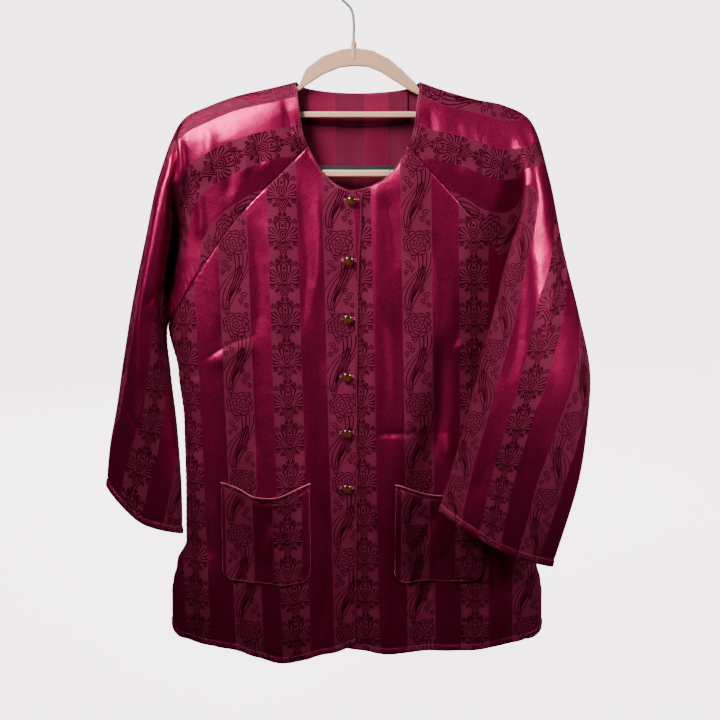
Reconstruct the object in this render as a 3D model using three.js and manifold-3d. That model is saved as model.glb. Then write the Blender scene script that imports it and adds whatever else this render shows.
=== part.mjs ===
// Ao ba ba: a collarless raglan blouse with a buttoned front and two patch pockets,
// hanging on a slim clothes hanger. Millimetres, +Z up, the front faces -Y and the
// origin is the inside of the top of the hanger's hook.
// Sides are named for the wearer: the wearer's right is at -X.
import * as THREE from 'three';
import { mergeVertices } from 'three/addons/utils/BufferGeometryUtils.js';
import Module from 'manifold-3d';

// ---------- driving dimensions ----------
const CLOTH = 1.2;            // wall of the satin with its seam allowances
const SEAM = 0.3;             // gap between two sewn pieces
const BODY_X = 5;             // middle of the blouse, a little off the hook
const NECK = { x: 7, z: -128, halfWidth: 74, frontDrop: 128, backDrop: 13, frontY: 16, backY: 14 };
const RAGLAN_START = { front: 0.20, back: 0.27 };   // share of the half neck, from the neck point
const HEM = { z: -832, sag: 23, leftSag: 14, corner: 16 };   // level at the opening, droops, corner
const SLIT_TOP = -702;
const FRONT_DEPTH = { top: 7, gain: 31, fall: 210 };
const BACK_DEPTH = { top: 7, gain: 27, fall: 210 };
const OVERLAP = 24;           // the left front runs this far under the right front
const POCKET = { width: 113, height: 132, corner: 17, gape: 11, sag: 14, ease: 0.8 };
const FACING = { half: 60, width: 37, rows: 4, cols: 14, ease: 0.4 };
const BUTTON = { radius: 6, dome: 4.2, shank: 1.5, stand: 0.7, count: 6, edge: 12 };
const HANGER = { thick: 6, clear: 3.4, neckClear: 5, arm: 13, bevel: 1.2 };
const HOOK = { wire: 3, radius: 19, stemTop: -57 };

// Middle of the front edge, top to bottom
const OPENING = [
  { z: -256, x: 11 }, { z: -386, x: 6.5 }, { z: -511, x: 5 }, { z: -641, x: 5 }, { z: -840, x: 3 },
];

// Side seams, from the underarm down: the body's half width on the wearer's right and left
const SIDE = [
  { z: -421, right: 234, left: 227 }, { z: -482, right: 223, left: 217 },
  { z: -540, right: 218, left: 214 }, { z: -615, right: 218, left: 217 },
  { z: -702, right: 220, left: 221 }, { z: -740, right: 233, left: 234 },
  { z: -785, right: 240, left: 241 }, { z: -840, right: 241, left: 242 },
];

const UNDERARM_Z = SIDE[0].z;

// Raglan seams between the neck and the underarm, for the wearer's right; the left mirrors them
const RAGLAN_FRONT = [{ x: -137, z: -286 }, { x: -173, z: -334 }];
const RAGLAN_MIRROR = 6;
const RAGLAN_BACK = [{ x: -118, z: -226 }, { x: -170, z: -318 }];

// Soft vertical folds of the body: middle, half width and depth at the hem (+ is outwards)
const FRONT_FOLDS = [
  { x: -196, half: 24, out: 5 }, { x: -150, half: 26, out: -6 }, { x: -92, half: 32, out: 8 },
  { x: -42, half: 24, out: -6 }, { x: 44, half: 30, out: 5 }, { x: 96, half: 32, out: -5 },
  { x: 160, half: 30, out: 4 }, { x: 205, half: 22, out: -3 },
];
const BACK_FOLDS = [
  { x: -180, half: 34, out: 6 }, { x: -112, half: 38, out: -7 }, { x: -38, half: 40, out: 8 },
  { x: 36, half: 36, out: -6 }, { x: 104, half: 38, out: 7 }, { x: 176, half: 34, out: -5 },
];

// Sleeve sections from neck to cuff. seam: share of the raglan seam, or the underarm seam's
// place [x, z, y]; valley, fold and ridge are [x, z, y]; front and back are the y between.
const RIGHT_SLEEVE = [
  { seam: 0.00, valley: [-57, -194, -15], fold: [-60, -183, -14], ridge: [-67, -128, 0], front: -12, back: 6 },
  { seam: 0.16, valley: [-90, -206, -20], fold: [-95, -178, -17], ridge: [-102, -136, 0], front: -12, back: 11 },
  { seam: 0.32, valley: [-122, -226, -22], fold: [-132, -190, -19], ridge: [-138, -144, 0], front: -12, back: 12 },
  { seam: 0.48, valley: [-157, -250, -21], fold: [-168, -206, -19], ridge: [-172, -156, 0], front: -12, back: 13 },
  { seam: 0.62, valley: [-190, -265, -14], fold: [-198, -222, -17], ridge: [-200, -175, 0], front: -14, back: 16 },
  { seam: 0.75, valley: [-213, -285, -8], fold: [-216, -250, -26], ridge: [-229, -236, 0], front: -25, back: 24 },
  { seam: 0.88, valley: [-224, -340, -6], fold: [-229, -322, -35], ridge: [-249, -318, 0], front: -38, back: 34 },
  { seam: 1.00, valley: [-237, -412, -14], fold: [-239, -402, -36], ridge: [-268, -402, 0], front: -46, back: 42 },
  { seam: [-230, -484, 12], valley: [-229, -482, -6], fold: [-231, -480, -26], ridge: [-281, -465, 0], front: -44, back: 37 },
  { seam: [-224, -552, 10], valley: [-223, -551, -4], fold: [-226, -549, -20], ridge: [-293, -525, 0], front: -40, back: 30 },
  { seam: [-221, -624, 6], valley: [-219, -624, -5], fold: [-222, -621, -16], ridge: [-304, -578, -2], front: -34, back: 22 },
  { seam: [-222, -690, 2], valley: [-219, -692, -6], fold: [-222, -690, -14], ridge: [-314, -628, -4], front: -30, back: 16, drop: 11 },
];
const LEFT_SLEEVE = [
  { seam: 0.00, valley: [71, -194, -15], fold: [74, -183, -14], ridge: [81, -128, 0], front: -12, back: 6 },
  { seam: 0.16, valley: [101, -208, -20], fold: [106, -180, -17], ridge: [114, -139, 0], front: -12, back: 11 },
  { seam: 0.32, valley: [134, -226, -22], fold: [142, -192, -19], ridge: [148, -148, 0], front: -12, back: 12 },
  { seam: 0.48, valley: [168, -246, -21], fold: [176, -206, -21], ridge: [180, -158, 0], front: -14, back: 13 },
  { seam: 0.62, valley: [198, -262, -16], fold: [199, -226, -28], ridge: [209, -176, 0], front: -22, back: 16 },
  { seam: 0.75, valley: [217, -300, -14], fold: [202, -266, -44], ridge: [235, -240, 0], front: -44, back: 26 },
  { seam: 0.88, valley: [224, -366, -18], fold: [181, -340, -56], ridge: [258, -326, -4], front: -62, back: 34 },
  { seam: 1.00, valley: [238, -414, -20], fold: [164, -414, -63], ridge: [280, -408, -8], front: -78, back: 24 },
  { seam: [226, -482, -26], valley: [196, -478, -47], fold: [150, -474, -68], ridge: [294, -476, -18], front: -86, back: -6 },
  { seam: [206, -541, -46], valley: [170, -538, -58], fold: [135, -534, -72], ridge: [291, -544, -30], front: -90, back: -34 },
  { seam: [182, -598, -56], valley: [150, -592, -62], fold: [120, -588, -74], ridge: [281, -612, -42], front: -90, back: -50 },
  { seam: [160, -666, -60], valley: [131, -651, -65], fold: [106, -638, -76], ridge: [251, -720, -50], front: -90, back: -56, drop: 5 },
];
const SLEEVE_STEPS = 3;                       // rows between two sections
const SECTION_STEPS = [4, 3, 3, 3, 3, 4];     // columns between two named points
const TO_RIDGE = 3;                           // the step that ends on the ridge; columns crowd there

// Hanger: upper edge of the arch and lower edge of the arch, left to right
const ARCH_TOP = [
  { x: -66, z: -135 }, { x: -62, z: -128 }, { x: -54, z: -111 }, { x: -34, z: -97 }, { x: -13, z: -90 }, { x: 3, z: -88 },
  { x: 24, z: -91 }, { x: 43, z: -100 }, { x: 58, z: -112 }, { x: 75, z: -128 }, { x: 80, z: -135 },
];
const ARCH_LOW = [
  { x: -70, z: -143 }, { x: -54, z: -131 }, { x: -35, z: -119 }, { x: -15, z: -111 }, { x: 2, z: -109 },
  { x: 18, z: -110 }, { x: 34, z: -116 }, { x: 50, z: -126 }, { x: 68, z: -137 }, { x: 84, z: -145 },
];
const BARS = { upperTop: -162, upperLow: -169, lowerTop: -231, lowerLow: -239, gripHalf: 96, grip: 4.6 };

const COLOURS = {
  cloth: 0x6e1034, sleeve: 0x7a1239, facing: 0x8c1a48, pocket: 0x64102f,
  glass: 0x5a2410, hanger: 0xd9b08c, steel: 0x9a9da0, grip: 0x16161a,
};

// ---------- small tools ----------
const lerp = (a, b, t) => a + (b - a) * t;
const clamp01 = (t) => Math.min(1, Math.max(0, t));
const smooth = (t) => clamp01(t) ** 2 * (3 - 2 * clamp01(t));
const point = (x, y, z) => new THREE.Vector3(x, y, z);

// Value of a table column at a level z, rows ordered downwards
function atLevel(table, column, z) {
  if (z >= table[0].z) return table[0][column];
  for (let i = 1; i < table.length; i += 1) {
    const above = table[i - 1];
    const below = table[i];
    if (z >= below.z) {
      const t = smooth((above.z - z) / (above.z - below.z));
      return lerp(above[column], below[column], t);
    }
  }
  return table[table.length - 1][column];
}

function mesh(name, geometry, colour, roughness = 0.45, metalness = 0) {
  const material = new THREE.MeshStandardMaterial({ color: colour, roughness, metalness });
  const made = new THREE.Mesh(geometry, material);
  made.name = name;
  return made;
}

// Unit normals of a grid of points, rows downwards and columns across
function gridNormals(grid) {
  const last = grid.length - 1;
  return grid.map((row, j) => row.map((_, i) => {
    const end = row.length - 1;
    const across = row[Math.min(i + 1, end)].clone().sub(row[Math.max(i - 1, 0)]);
    const down = grid[Math.min(j + 1, last)][i].clone().sub(grid[Math.max(j - 1, 0)][i]);
    return across.cross(down).normalize();
  }));
}

// Closed wall about a grid's middle surface; out is +1 when across x down points outwards
function wall(grid, out = 1, thickness = CLOTH) {
  const normals = gridNormals(grid);
  const rows = grid.length;
  const cols = grid[0].length;
  const positions = [];
  const addSide = (sign) => grid.forEach((row, j) => row.forEach((p, i) => {
    const q = p.clone().addScaledVector(normals[j][i], sign * out * thickness / 2);
    positions.push(q.x, q.y, q.z);
  }));
  addSide(1);
  addSide(-1);
  const faces = [];
  const outer = (j, i) => j * cols + i;
  const inner = (j, i) => rows * cols + j * cols + i;
  const quad = (a, b, c, d) => {
    if (out > 0) faces.push(a, b, c, a, c, d);
    else faces.push(a, c, b, a, d, c);
  };
  for (let j = 0; j < rows - 1; j += 1) {
    for (let i = 0; i < cols - 1; i += 1) {
      quad(outer(j, i), outer(j, i + 1), outer(j + 1, i + 1), outer(j + 1, i));
      quad(inner(j, i), inner(j + 1, i), inner(j + 1, i + 1), inner(j, i + 1));
    }
    quad(outer(j, 0), outer(j + 1, 0), inner(j + 1, 0), inner(j, 0));
    quad(outer(j + 1, cols - 1), outer(j, cols - 1), inner(j, cols - 1), inner(j + 1, cols - 1));
  }
  for (let i = 0; i < cols - 1; i += 1) {
    quad(outer(0, i + 1), outer(0, i), inner(0, i), inner(0, i + 1));
    quad(outer(rows - 1, i), outer(rows - 1, i + 1), inner(rows - 1, i + 1), inner(rows - 1, i));
  }
  const geometry = new THREE.BufferGeometry();
  geometry.setAttribute('position', new THREE.Float32BufferAttribute(positions, 3));
  geometry.setIndex(faces);
  return geometry;
}

// ---------- the body's surfaces ----------
function foldAt(folds, x, z) {
  const grow = smooth((-300 - z) / 420);
  return folds.reduce((sum, fold) => {
    const u = (x - fold.x) / fold.half;
    return sum + (Math.abs(u) < 1 ? fold.out * 0.5 * (1 + Math.cos(Math.PI * u)) : 0);
  }, 0) * grow;
}

// x of the side seam; side is -1 for the wearer's right and 1 for the left
const sideX = (side, z) => BODY_X + side * atLevel(SIDE, side < 0 ? 'right' : 'left', z);

// 1 over the middle of the body, falling to 0 at its side seams
function roundness(x, z) {
  const w = Math.min(1, (x - BODY_X) / (sideX(x < BODY_X ? -1 : 1, z) - BODY_X));
  return Math.sqrt(1 - w ** 4);
}

function depthBelowShoulder(size, x, z) {
  const shoulder = NECK.z - 0.36 * Math.max(0, Math.abs(x - NECK.x) - NECK.halfWidth);
  return size.top + size.gain * (1 - Math.exp(-Math.max(0, shoulder - z) / size.fall));
}

// Front and back are a seam's gap apart at the side, and part below the slit's top
const slitPart = (z) => SEAM + 7 * smooth((SLIT_TOP - z) / 60);

function frontY(x, z) {
  const easeLeft = 5 * smooth((x - 20) / 110) * smooth((-300 - z) / 200);
  const depth = depthBelowShoulder(FRONT_DEPTH, x, z) - easeLeft + foldAt(FRONT_FOLDS, x, z);
  const round = roundness(x, z);
  return -depth * round - slitPart(z) * (1 - round);
}

function backY(x, z) {
  const depth = depthBelowShoulder(BACK_DEPTH, x, z) + foldAt(BACK_FOLDS, x, z);
  const round = roundness(x, z);
  return depth * round + slitPart(z) * (1 - round);
}

// Neckline: half an ellipse in front and a shallow one behind; share runs from the
// neck point on the given side (-1 the wearer's right) to the middle
function neckPoint(side, share, front) {
  const angle = share * Math.PI / 2;
  const drop = front ? NECK.frontDrop : NECK.backDrop;
  const depth = front ? -NECK.frontY : NECK.backY;
  return point(
    NECK.x + side * NECK.halfWidth * Math.cos(angle),
    depth * Math.sin(angle) ** 0.45,
    NECK.z - drop * Math.sin(angle),
  );
}

// The raglan seam on one side of the front or the back, as a curve in the seam's surface
function raglanCurve(side, front) {
  const startShare = front ? 2 * RAGLAN_START.front : RAGLAN_START.back;
  const start = neckPoint(side, startShare, front);
  const table = front ? RAGLAN_FRONT : RAGLAN_BACK;
  const surface = front ? frontY : backY;
  const middle = table.map((row) => point(side < 0 ? row.x : RAGLAN_MIRROR - row.x, 0, row.z));
  const flat = new THREE.CatmullRomCurve3(
    [point(start.x, 0, start.z), ...middle, point(sideX(side, UNDERARM_Z), 0, UNDERARM_Z)],
    false, 'centripetal',
  );
  return {
    getPointAt(t) {
      const p = flat.getPointAt(clamp01(t));
      const blend = smooth(t / 0.12);
      p.y = lerp(start.y, surface(p.x, p.z), blend);
      return p;
    },
    length: flat.getLength(),
  };
}

const RAGLAN = {
  frontRight: raglanCurve(-1, true),
  frontLeft: raglanCurve(1, true),
  backRight: raglanCurve(-1, false),
  backLeft: raglanCurve(1, false),
};

// Outer edge of a front or back half: down the raglan seam, then down the side
function outerEdge(side, raglan, t) {
  const sideLength = UNDERARM_Z - HEM.z;
  const total = raglan.length + sideLength;
  const walked = t * total;
  if (walked < raglan.length) return raglan.getPointAt(walked / raglan.length);
  const z = UNDERARM_Z - (walked - raglan.length);
  return point(sideX(side, z), 0, z);
}

const hemLevel = (share, sag = HEM.sag) => {
  const nearSide = clamp01((share - 0.93) / 0.07);
  return HEM.z - sag * Math.sin(Math.PI * clamp01(share * 1.08)) ** 1.3 + 6 * share
    + HEM.corner * (1 - Math.sqrt(1 - nearSide ** 2));
};

const FRONT_ROWS = 29;
const FRONT_COLS = 14;
const BACK_ROWS = 25;
const BACK_COLS = 20;

const bunched = (s) => 1 - (1 - s) ** 1.5;     // closer columns towards the side

// One front: side is -1 for the wearer's right. edgeShift moves the opening edge across,
// and behind is how far the part near the opening lies under the other front.
function frontGrid(side, raglan, edgeShift, behind) {
  const neckShare = 2 * RAGLAN_START.front;
  const rows = [];
  for (let j = 0; j < FRONT_ROWS; j += 1) {
    const t = j / (FRONT_ROWS - 1);
    const outer = outerEdge(side, raglan, t);
    const neckPart = 0.125;
    let inner;
    if (t < neckPart) {
      inner = neckPoint(side, lerp(neckShare, 1, t / neckPart), true);
      inner.x += edgeShift * (t / neckPart) ** 3;
    } else {
      const z = lerp(NECK.z - NECK.frontDrop, HEM.z, (t - neckPart) / (1 - neckPart));
      inner = point(atLevel(OPENING, 'x', z) + edgeShift, 0, z);
    }
    const hemPull = smooth((t - 0.8) / 0.2);
    const row = [];
    for (let i = 0; i < FRONT_COLS; i += 1) {
      const s = bunched(i / (FRONT_COLS - 1));
      const x = lerp(inner.x, outer.x, s);
      const straight = lerp(inner.z, outer.z, s);
      const z = straight + hemPull * (hemLevel(s, side < 0 ? HEM.sag : HEM.leftSag) - HEM.z);
      const neckBlend = t < neckPart ? (1 - s) ** 2 : 0;
      const surface = frontY(x, z);
      const under = behind * smooth((26 - (x - BODY_X)) / 12);
      row.push(point(x, lerp(surface, inner.y, neckBlend) + under, z));
    }
    rows.push(row);
  }
  return rows;
}

function backGrid() {
  const rows = [];
  const neckRight = RAGLAN.backRight.getPointAt(0).z;
  const neckLeft = RAGLAN.backLeft.getPointAt(0).z;
  for (let j = 0; j < BACK_ROWS; j += 1) {
    const t = j / (BACK_ROWS - 1);
    const right = outerEdge(-1, RAGLAN.backRight, t);
    const left = outerEdge(1, RAGLAN.backLeft, t);
    const hemPull = smooth((t - 0.82) / 0.18);
    const row = [];
    for (let i = 0; i < BACK_COLS; i += 1) {
      const half = 2 * i / (BACK_COLS - 1) - 1;
      const s = 0.5 + 0.5 * Math.sign(half) * bunched(Math.abs(half));
      const x = lerp(right.x, left.x, s);
      const neckX = lerp(rows.length ? rows[0][0].x : right.x, rows.length ? rows[0].at(-1).x : left.x, s);
      const neckDip = (1 - smooth(t / 0.09)) * (neckAtX(neckX) - lerp(neckRight, neckLeft, s));
      const share = Math.abs(2 * s - 1);
      const z = lerp(right.z, left.z, s) + neckDip + hemPull * (hemLevel(share) + 8 - HEM.z);
      const neckY = NECK.backY * Math.sqrt(Math.max(0, 1 - ((x - NECK.x) / NECK.halfWidth / 1.15) ** 2));
      const y = t < 0.09 ? lerp(neckY, backY(x, z), smooth(t / 0.09)) : backY(x, z);
      row.push(point(x, y, z));
    }
    rows.push(row);
  }
  return rows;
}

// Level of the back neckline at x
function neckAtX(x) {
  const share = clamp01(Math.abs(x - NECK.x) / NECK.halfWidth);
  return NECK.z - NECK.backDrop * Math.sqrt(1 - share ** 2);
}

// Trims the first or last column back, so that sewn pieces keep their gap
function trimmed(grid, first, last) {
  return grid.map((row) => {
    const copy = row.map((p) => p.clone());
    const end = copy.length - 1;
    const pull = (edge, next, by) => {
      const step = next.clone().sub(edge);
      edge.addScaledVector(step.normalize(), by);
    };
    if (first) pull(copy[0], copy[1], first);
    if (last) pull(copy[end], copy[end - 1], last);
    return copy;
  });
}

// ---------- sleeves ----------
function sleeveGrid(sections, front, back) {
  const names = ['start', 'valley', 'fold', 'front', 'ridge', 'back', 'end'];
  const controls = sections.map((row) => {
    const yoke = typeof row.seam === 'number';
    const at = ([x, z, y]) => point(x, y, z);
    const start = yoke ? front.getPointAt(row.seam) : at(row.seam);
    const end = yoke ? back.getPointAt(row.seam) : at(row.seam);
    const fold = at(row.fold);
    const ridge = at(row.ridge);
    const backShare = yoke ? lerp(0.2, 0.5, smooth((row.seam - 0.62) / 0.38)) : 0.5;
    const between = (a, b, t, y) => point(lerp(a.x, b.x, t), y, lerp(a.z, b.z, t));
    return {
      start, valley: at(row.valley), fold, front: between(fold, ridge, 0.5, row.front).add(point(0, 0, -(row.drop || 0))),
      ridge, back: between(ridge, end, backShare, row.back), end,
    };
  });
  const rails = names.map((name) => new THREE.CatmullRomCurve3(
    controls.map((row) => row[name]), false, 'centripetal',
  ));
  const yokeSections = sections.filter((row) => typeof row.seam === 'number').length - 1;
  const rows = [];
  for (let j = 0; j <= (sections.length - 1) * SLEEVE_STEPS; j += 1) {
    const place = j / SLEEVE_STEPS;
    const t = place / (sections.length - 1);
    const named = rails.map((rail) => rail.getPoint(t));
    if (place <= yokeSections) {
      const k = Math.min(Math.floor(place), yokeSections - 1);
      const share = lerp(sections[k].seam, sections[k + 1].seam, place - k);
      named[0] = front.getPointAt(share);
      named[6] = back.getPointAt(share);
    }
    const section = new THREE.CatmullRomCurve3(named, false, 'centripetal');
    const row = [];
    SECTION_STEPS.forEach((steps, k) => {
      for (let i = 0; i < steps; i += 1) {
        let share = i / steps;
        if (k === TO_RIDGE) share = 1 - (1 - share) ** 1.6;
        if (k === TO_RIDGE + 1) share **= 1.6;
        row.push(section.getPoint((k + share) / SECTION_STEPS.length));
      }
    });
    row.push(named[6].clone());
    rows.push(row);
  }
  return rows;
}

// ---------- pockets ----------
// y of a panel's faceted middle surface at (x, z)
function panelY(grid, x, z) {
  for (let j = 0; j < grid.length - 1; j += 1) {
    for (let i = 0; i < grid[0].length - 1; i += 1) {
      const a = grid[j][i];
      const c = grid[j + 1][i + 1];
      for (const b of [grid[j][i + 1], grid[j + 1][i]]) {
        const area = (b.x - a.x) * (c.z - a.z) - (c.x - a.x) * (b.z - a.z);
        const u = ((x - a.x) * (c.z - a.z) - (c.x - a.x) * (z - a.z)) / area;
        const v = ((b.x - a.x) * (z - a.z) - (x - a.x) * (b.z - a.z)) / area;
        if (u >= 0 && v >= 0 && u + v <= 1) return a.y + u * (b.y - a.y) + v * (c.y - a.y);
      }
    }
  }
  return frontY(x, z);
}

function pocketGrid(panelGrid, corner, side) {
  const cols = 12;
  const rows = 12;
  const base = [];
  for (let j = 0; j < rows; j += 1) {
    const t = j / (rows - 1);
    const row = [];
    for (let i = 0; i < cols; i += 1) {
      const s = i / (cols - 1);
      const edge = Math.abs(2 * s - 1);
      const fromEnd = (1 - edge) * POCKET.width / 2;
      const bottom = fromEnd < POCKET.corner
        ? POCKET.corner - Math.sqrt(POCKET.corner ** 2 - (POCKET.corner - fromEnd) ** 2) : 0;
      const top = -POCKET.sag * Math.sin(Math.PI * s) ** 1.4;
      const x = corner.x + s * POCKET.width * side;
      const z = corner.z + lerp(top, bottom - POCKET.height, t);
      const gape = POCKET.gape * (1 - t) ** 2.2 * Math.sin(Math.PI * s) ** 0.9;
      row.push(point(x, panelY(panelGrid, x, z) - CLOTH - SEAM - POCKET.ease - gape, z));
    }
    base.push(row);
  }
  return base;
}

// ---------- back-neck facing ----------
// A strip that follows the back neckline, laid against the inside of the back
function facingGrid(panelGrid) {
  const grid = [];
  for (let j = 0; j <= FACING.rows; j += 1) {
    const row = [];
    for (let i = 0; i <= FACING.cols; i += 1) {
      const x = lerp(-FACING.half, FACING.half, i / FACING.cols) + NECK.x;
      const z = neckAtX(x) - 1 - FACING.width * j / FACING.rows;
      row.push(point(x, panelY(panelGrid, x, z) - CLOTH - SEAM - FACING.ease, z));
    }
    grid.push(row);
  }
  return grid;
}

// ---------- buttons ----------
function buttonGeometry() {
  const { radius, dome, shank } = BUTTON;
  const profile = [new THREE.Vector2(0, 0), new THREE.Vector2(shank, 0), new THREE.Vector2(shank, 1.4),
    new THREE.Vector2(radius * 0.72, 1.6), new THREE.Vector2(radius, 2.8)];
  for (let k = 1; k <= 3; k += 1) {
    const angle = k * Math.PI / 6;
    profile.push(new THREE.Vector2(k === 3 ? 0 : radius * Math.cos(angle), 2.8 + dome * Math.sin(angle)));
  }
  const geometry = new THREE.LatheGeometry(profile, 12);
  geometry.rotateX(Math.PI);
  return geometry;
}

// ---------- hanger ----------
let manifoldLibrary;
async function startManifold() {
  manifoldLibrary = await Module();
  manifoldLibrary.setup();
}

function toManifold(geometry) {
  const bare = geometry.clone();
  bare.deleteAttribute('normal');
  bare.deleteAttribute('uv');
  const merged = mergeVertices(bare, 1e-4);
  return new manifoldLibrary.Manifold(new manifoldLibrary.Mesh({
    numProp: 3,
    vertProperties: new Float32Array(merged.attributes.position.array),
    triVerts: new Uint32Array(merged.index.array),
  }));
}

function fromManifold(solid) {
  const made = solid.getMesh();
  const geometry = new THREE.BufferGeometry();
  geometry.setAttribute('position', new THREE.Float32BufferAttribute(made.vertProperties, 3));
  geometry.setIndex(Array.from(made.triVerts));
  return geometry;
}

// The arm follows the line on which the sleeve's ridge lies, just under the cloth
function armTop(sections, below) {
  const rail = new THREE.CatmullRomCurve3(
    sections.slice(0, 6).map((row) => point(row.ridge[0], 0, row.ridge[1])), false, 'centripetal',
  );
  const points = [];
  for (let k = 0; k <= 10; k += 1) {
    const p = rail.getPoint(0.8 * k / 10);
    const nearNeck = HANGER.neckClear * (1 - smooth(k / 3));
    points.push({ x: p.x, z: p.z - below - nearNeck });
  }
  return points;
}

function hangerGeometry() {
  const right = armTop(RIGHT_SLEEVE, HANGER.clear).slice(1).reverse();
  const left = armTop(LEFT_SLEEVE, HANGER.clear).slice(1);
  const tipRight = right[0];
  const tipLeft = left[left.length - 1];
  const shape = new THREE.Shape();
  shape.moveTo(tipRight.x, tipRight.z);
  right.slice(1).forEach((p) => shape.lineTo(p.x, p.z));
  ARCH_TOP.forEach((p) => shape.lineTo(p.x, p.z));
  left.forEach((p) => shape.lineTo(p.x, p.z));
  const low = BARS.lowerLow;
  shape.bezierCurveTo(tipLeft.x + 4, tipLeft.z - 16, tipLeft.x - 4, low, tipLeft.x - 34, low);
  shape.lineTo(tipRight.x + 34, low);
  shape.bezierCurveTo(tipRight.x + 4, low, tipRight.x - 4, tipRight.z - 16, tipRight.x, tipRight.z);

  // between the arms, the arch and the upper bar
  const upper = new THREE.Path();
  const lowRight = armTop(RIGHT_SLEEVE, HANGER.clear + HANGER.arm).filter((p) => p.x < -74 && p.z > -160);
  const lowLeft = armTop(LEFT_SLEEVE, HANGER.clear + HANGER.arm).filter((p) => p.x > 88 && p.z > -160);
  upper.moveTo(lowRight[lowRight.length - 1].x - 4, BARS.upperTop);
  [...lowLeft].reverse().forEach((p, k) => {
    if (k === 0) upper.lineTo(p.x + 4, BARS.upperTop);
    upper.lineTo(p.x, p.z);
  });
  [...ARCH_LOW].reverse().forEach((p) => upper.lineTo(p.x, p.z));
  lowRight.forEach((p) => upper.lineTo(p.x, p.z));
  shape.holes.push(upper);

  // between the two bars
  const lower = new THREE.Path();
  const endRight = tipRight.x + 22;
  const endLeft = tipLeft.x - 22;
  lower.moveTo(endRight + 26, BARS.lowerTop);
  lower.lineTo(endLeft - 26, BARS.lowerTop);
  lower.bezierCurveTo(endLeft, BARS.lowerTop, endLeft + 10, -205, endLeft + 6, -196);
  lower.lineTo(endLeft - 24, -178);
  lower.lineTo(endLeft - 34, BARS.upperLow);
  lower.lineTo(endRight + 34, BARS.upperLow);
  lower.lineTo(endRight + 24, -178);
  lower.lineTo(endRight - 6, -196);
  lower.bezierCurveTo(endRight - 10, -205, endRight, BARS.lowerTop, endRight + 26, BARS.lowerTop);
  shape.holes.push(lower);

  const round = HANGER.bevel;
  const plate = new THREE.ExtrudeGeometry(shape, {
    depth: HANGER.thick - 2 * round, bevelEnabled: true, bevelThickness: round, bevelSize: round,
    bevelOffset: -round, bevelSegments: 1, curveSegments: 8,
  });
  plate.translate(0, 0, -(HANGER.thick - 2 * round) / 2);
  plate.rotateX(Math.PI / 2);
  const collar = new THREE.CylinderGeometry(3, 4.2, 20, 14).rotateX(Math.PI / 2).translate(2, 0, -91);
  const bore = new THREE.CylinderGeometry(HOOK.wire / 2 + SEAM, HOOK.wire / 2 + SEAM, 16, 12)
    .rotateX(Math.PI / 2).translate(2, 0, -87 + 6);
  return fromManifold(toManifold(plate).add(toManifold(collar)).subtract(toManifold(bore)));
}

function hookGeometry() {
  const stem = 2;
  const centreZ = HOOK.wire / 2 - HOOK.radius;
  const points = [point(stem, 0, -88), point(stem, 0, -74), point(stem, 0, HOOK.stemTop), point(-1, 0, -44)];
  for (let k = 0; k <= 9; k += 1) {
    const angle = THREE.MathUtils.degToRad(lerp(222, -12, k / 9));
    points.push(point(HOOK.radius * Math.cos(angle), 0, centreZ + HOOK.radius * Math.sin(angle)));
  }
  const circle = new THREE.Shape();
  circle.absarc(0, 0, HOOK.wire / 2, 0, 2 * Math.PI);
  const path = new THREE.CatmullRomCurve3(points, false, 'centripetal');
  return new THREE.ExtrudeGeometry(circle, { steps: 44, curveSegments: 4, extrudePath: path });
}

// ---------- putting it together ----------
await startManifold();
const group = new THREE.Group();
group.name = 'ao_ba_ba';

const rightFront = frontGrid(-1, RAGLAN.frontRight, 0, 0);
const leftFront = frontGrid(1, RAGLAN.frontLeft, -OVERLAP, CLOTH + SEAM + 0.6);
const back = backGrid();
const edge = SEAM * 1.3;
group.add(mesh('right_front', wall(trimmed(rightFront, 0, edge), -1), COLOURS.cloth));
group.add(mesh('left_front', wall(trimmed(leftFront, 0, edge), 1), COLOURS.cloth));
group.add(mesh('back', wall(trimmed(back, edge, edge), -1), COLOURS.cloth));

const rightSleeve = sleeveGrid(RIGHT_SLEEVE, RAGLAN.frontRight, RAGLAN.backRight);
const leftSleeve = sleeveGrid(LEFT_SLEEVE, RAGLAN.frontLeft, RAGLAN.backLeft);
group.add(mesh('right_sleeve', wall(trimmed(rightSleeve, edge, edge), -1), COLOURS.sleeve));
group.add(mesh('left_sleeve', wall(trimmed(leftSleeve, edge, edge), 1), COLOURS.sleeve));

const pocketRight = pocketGrid(rightFront, { x: -53, z: -617 }, -1);
const pocketLeft = pocketGrid(leftFront, { x: 53, z: -617 }, 1);
group.add(mesh('right_pocket', wall(pocketRight, -1), COLOURS.pocket));
group.add(mesh('left_pocket', wall(pocketLeft, 1), COLOURS.pocket));

for (let k = 0; k < BUTTON.count; k += 1) {
  const z = lerp(-266, -622, k / (BUTTON.count - 1));
  const x = atLevel(OPENING, 'x', z) - BUTTON.edge;
  const button = mesh(`button_${k + 1}`, buttonGeometry(), COLOURS.glass, 0.15);
  button.position.set(x, panelY(rightFront, x, z) - CLOTH / 2 - BUTTON.stand, z);
  group.add(button);
}

group.add(mesh('back_neck_facing', wall(facingGrid(back), 1), COLOURS.facing));

const grip = new THREE.BoxGeometry(2 * BARS.gripHalf, 4, BARS.grip);
const gripMesh = mesh('grip_strip', grip, COLOURS.grip, 0.9);
gripMesh.position.set(7, 0, BARS.lowerTop + SEAM + BARS.grip / 2);
group.add(gripMesh);
group.add(mesh('hanger', hangerGeometry(), COLOURS.hanger, 0.85));
group.add(mesh('hook', hookGeometry(), COLOURS.steel, 0.25, 1));

export default group;
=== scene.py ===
import math

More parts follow.
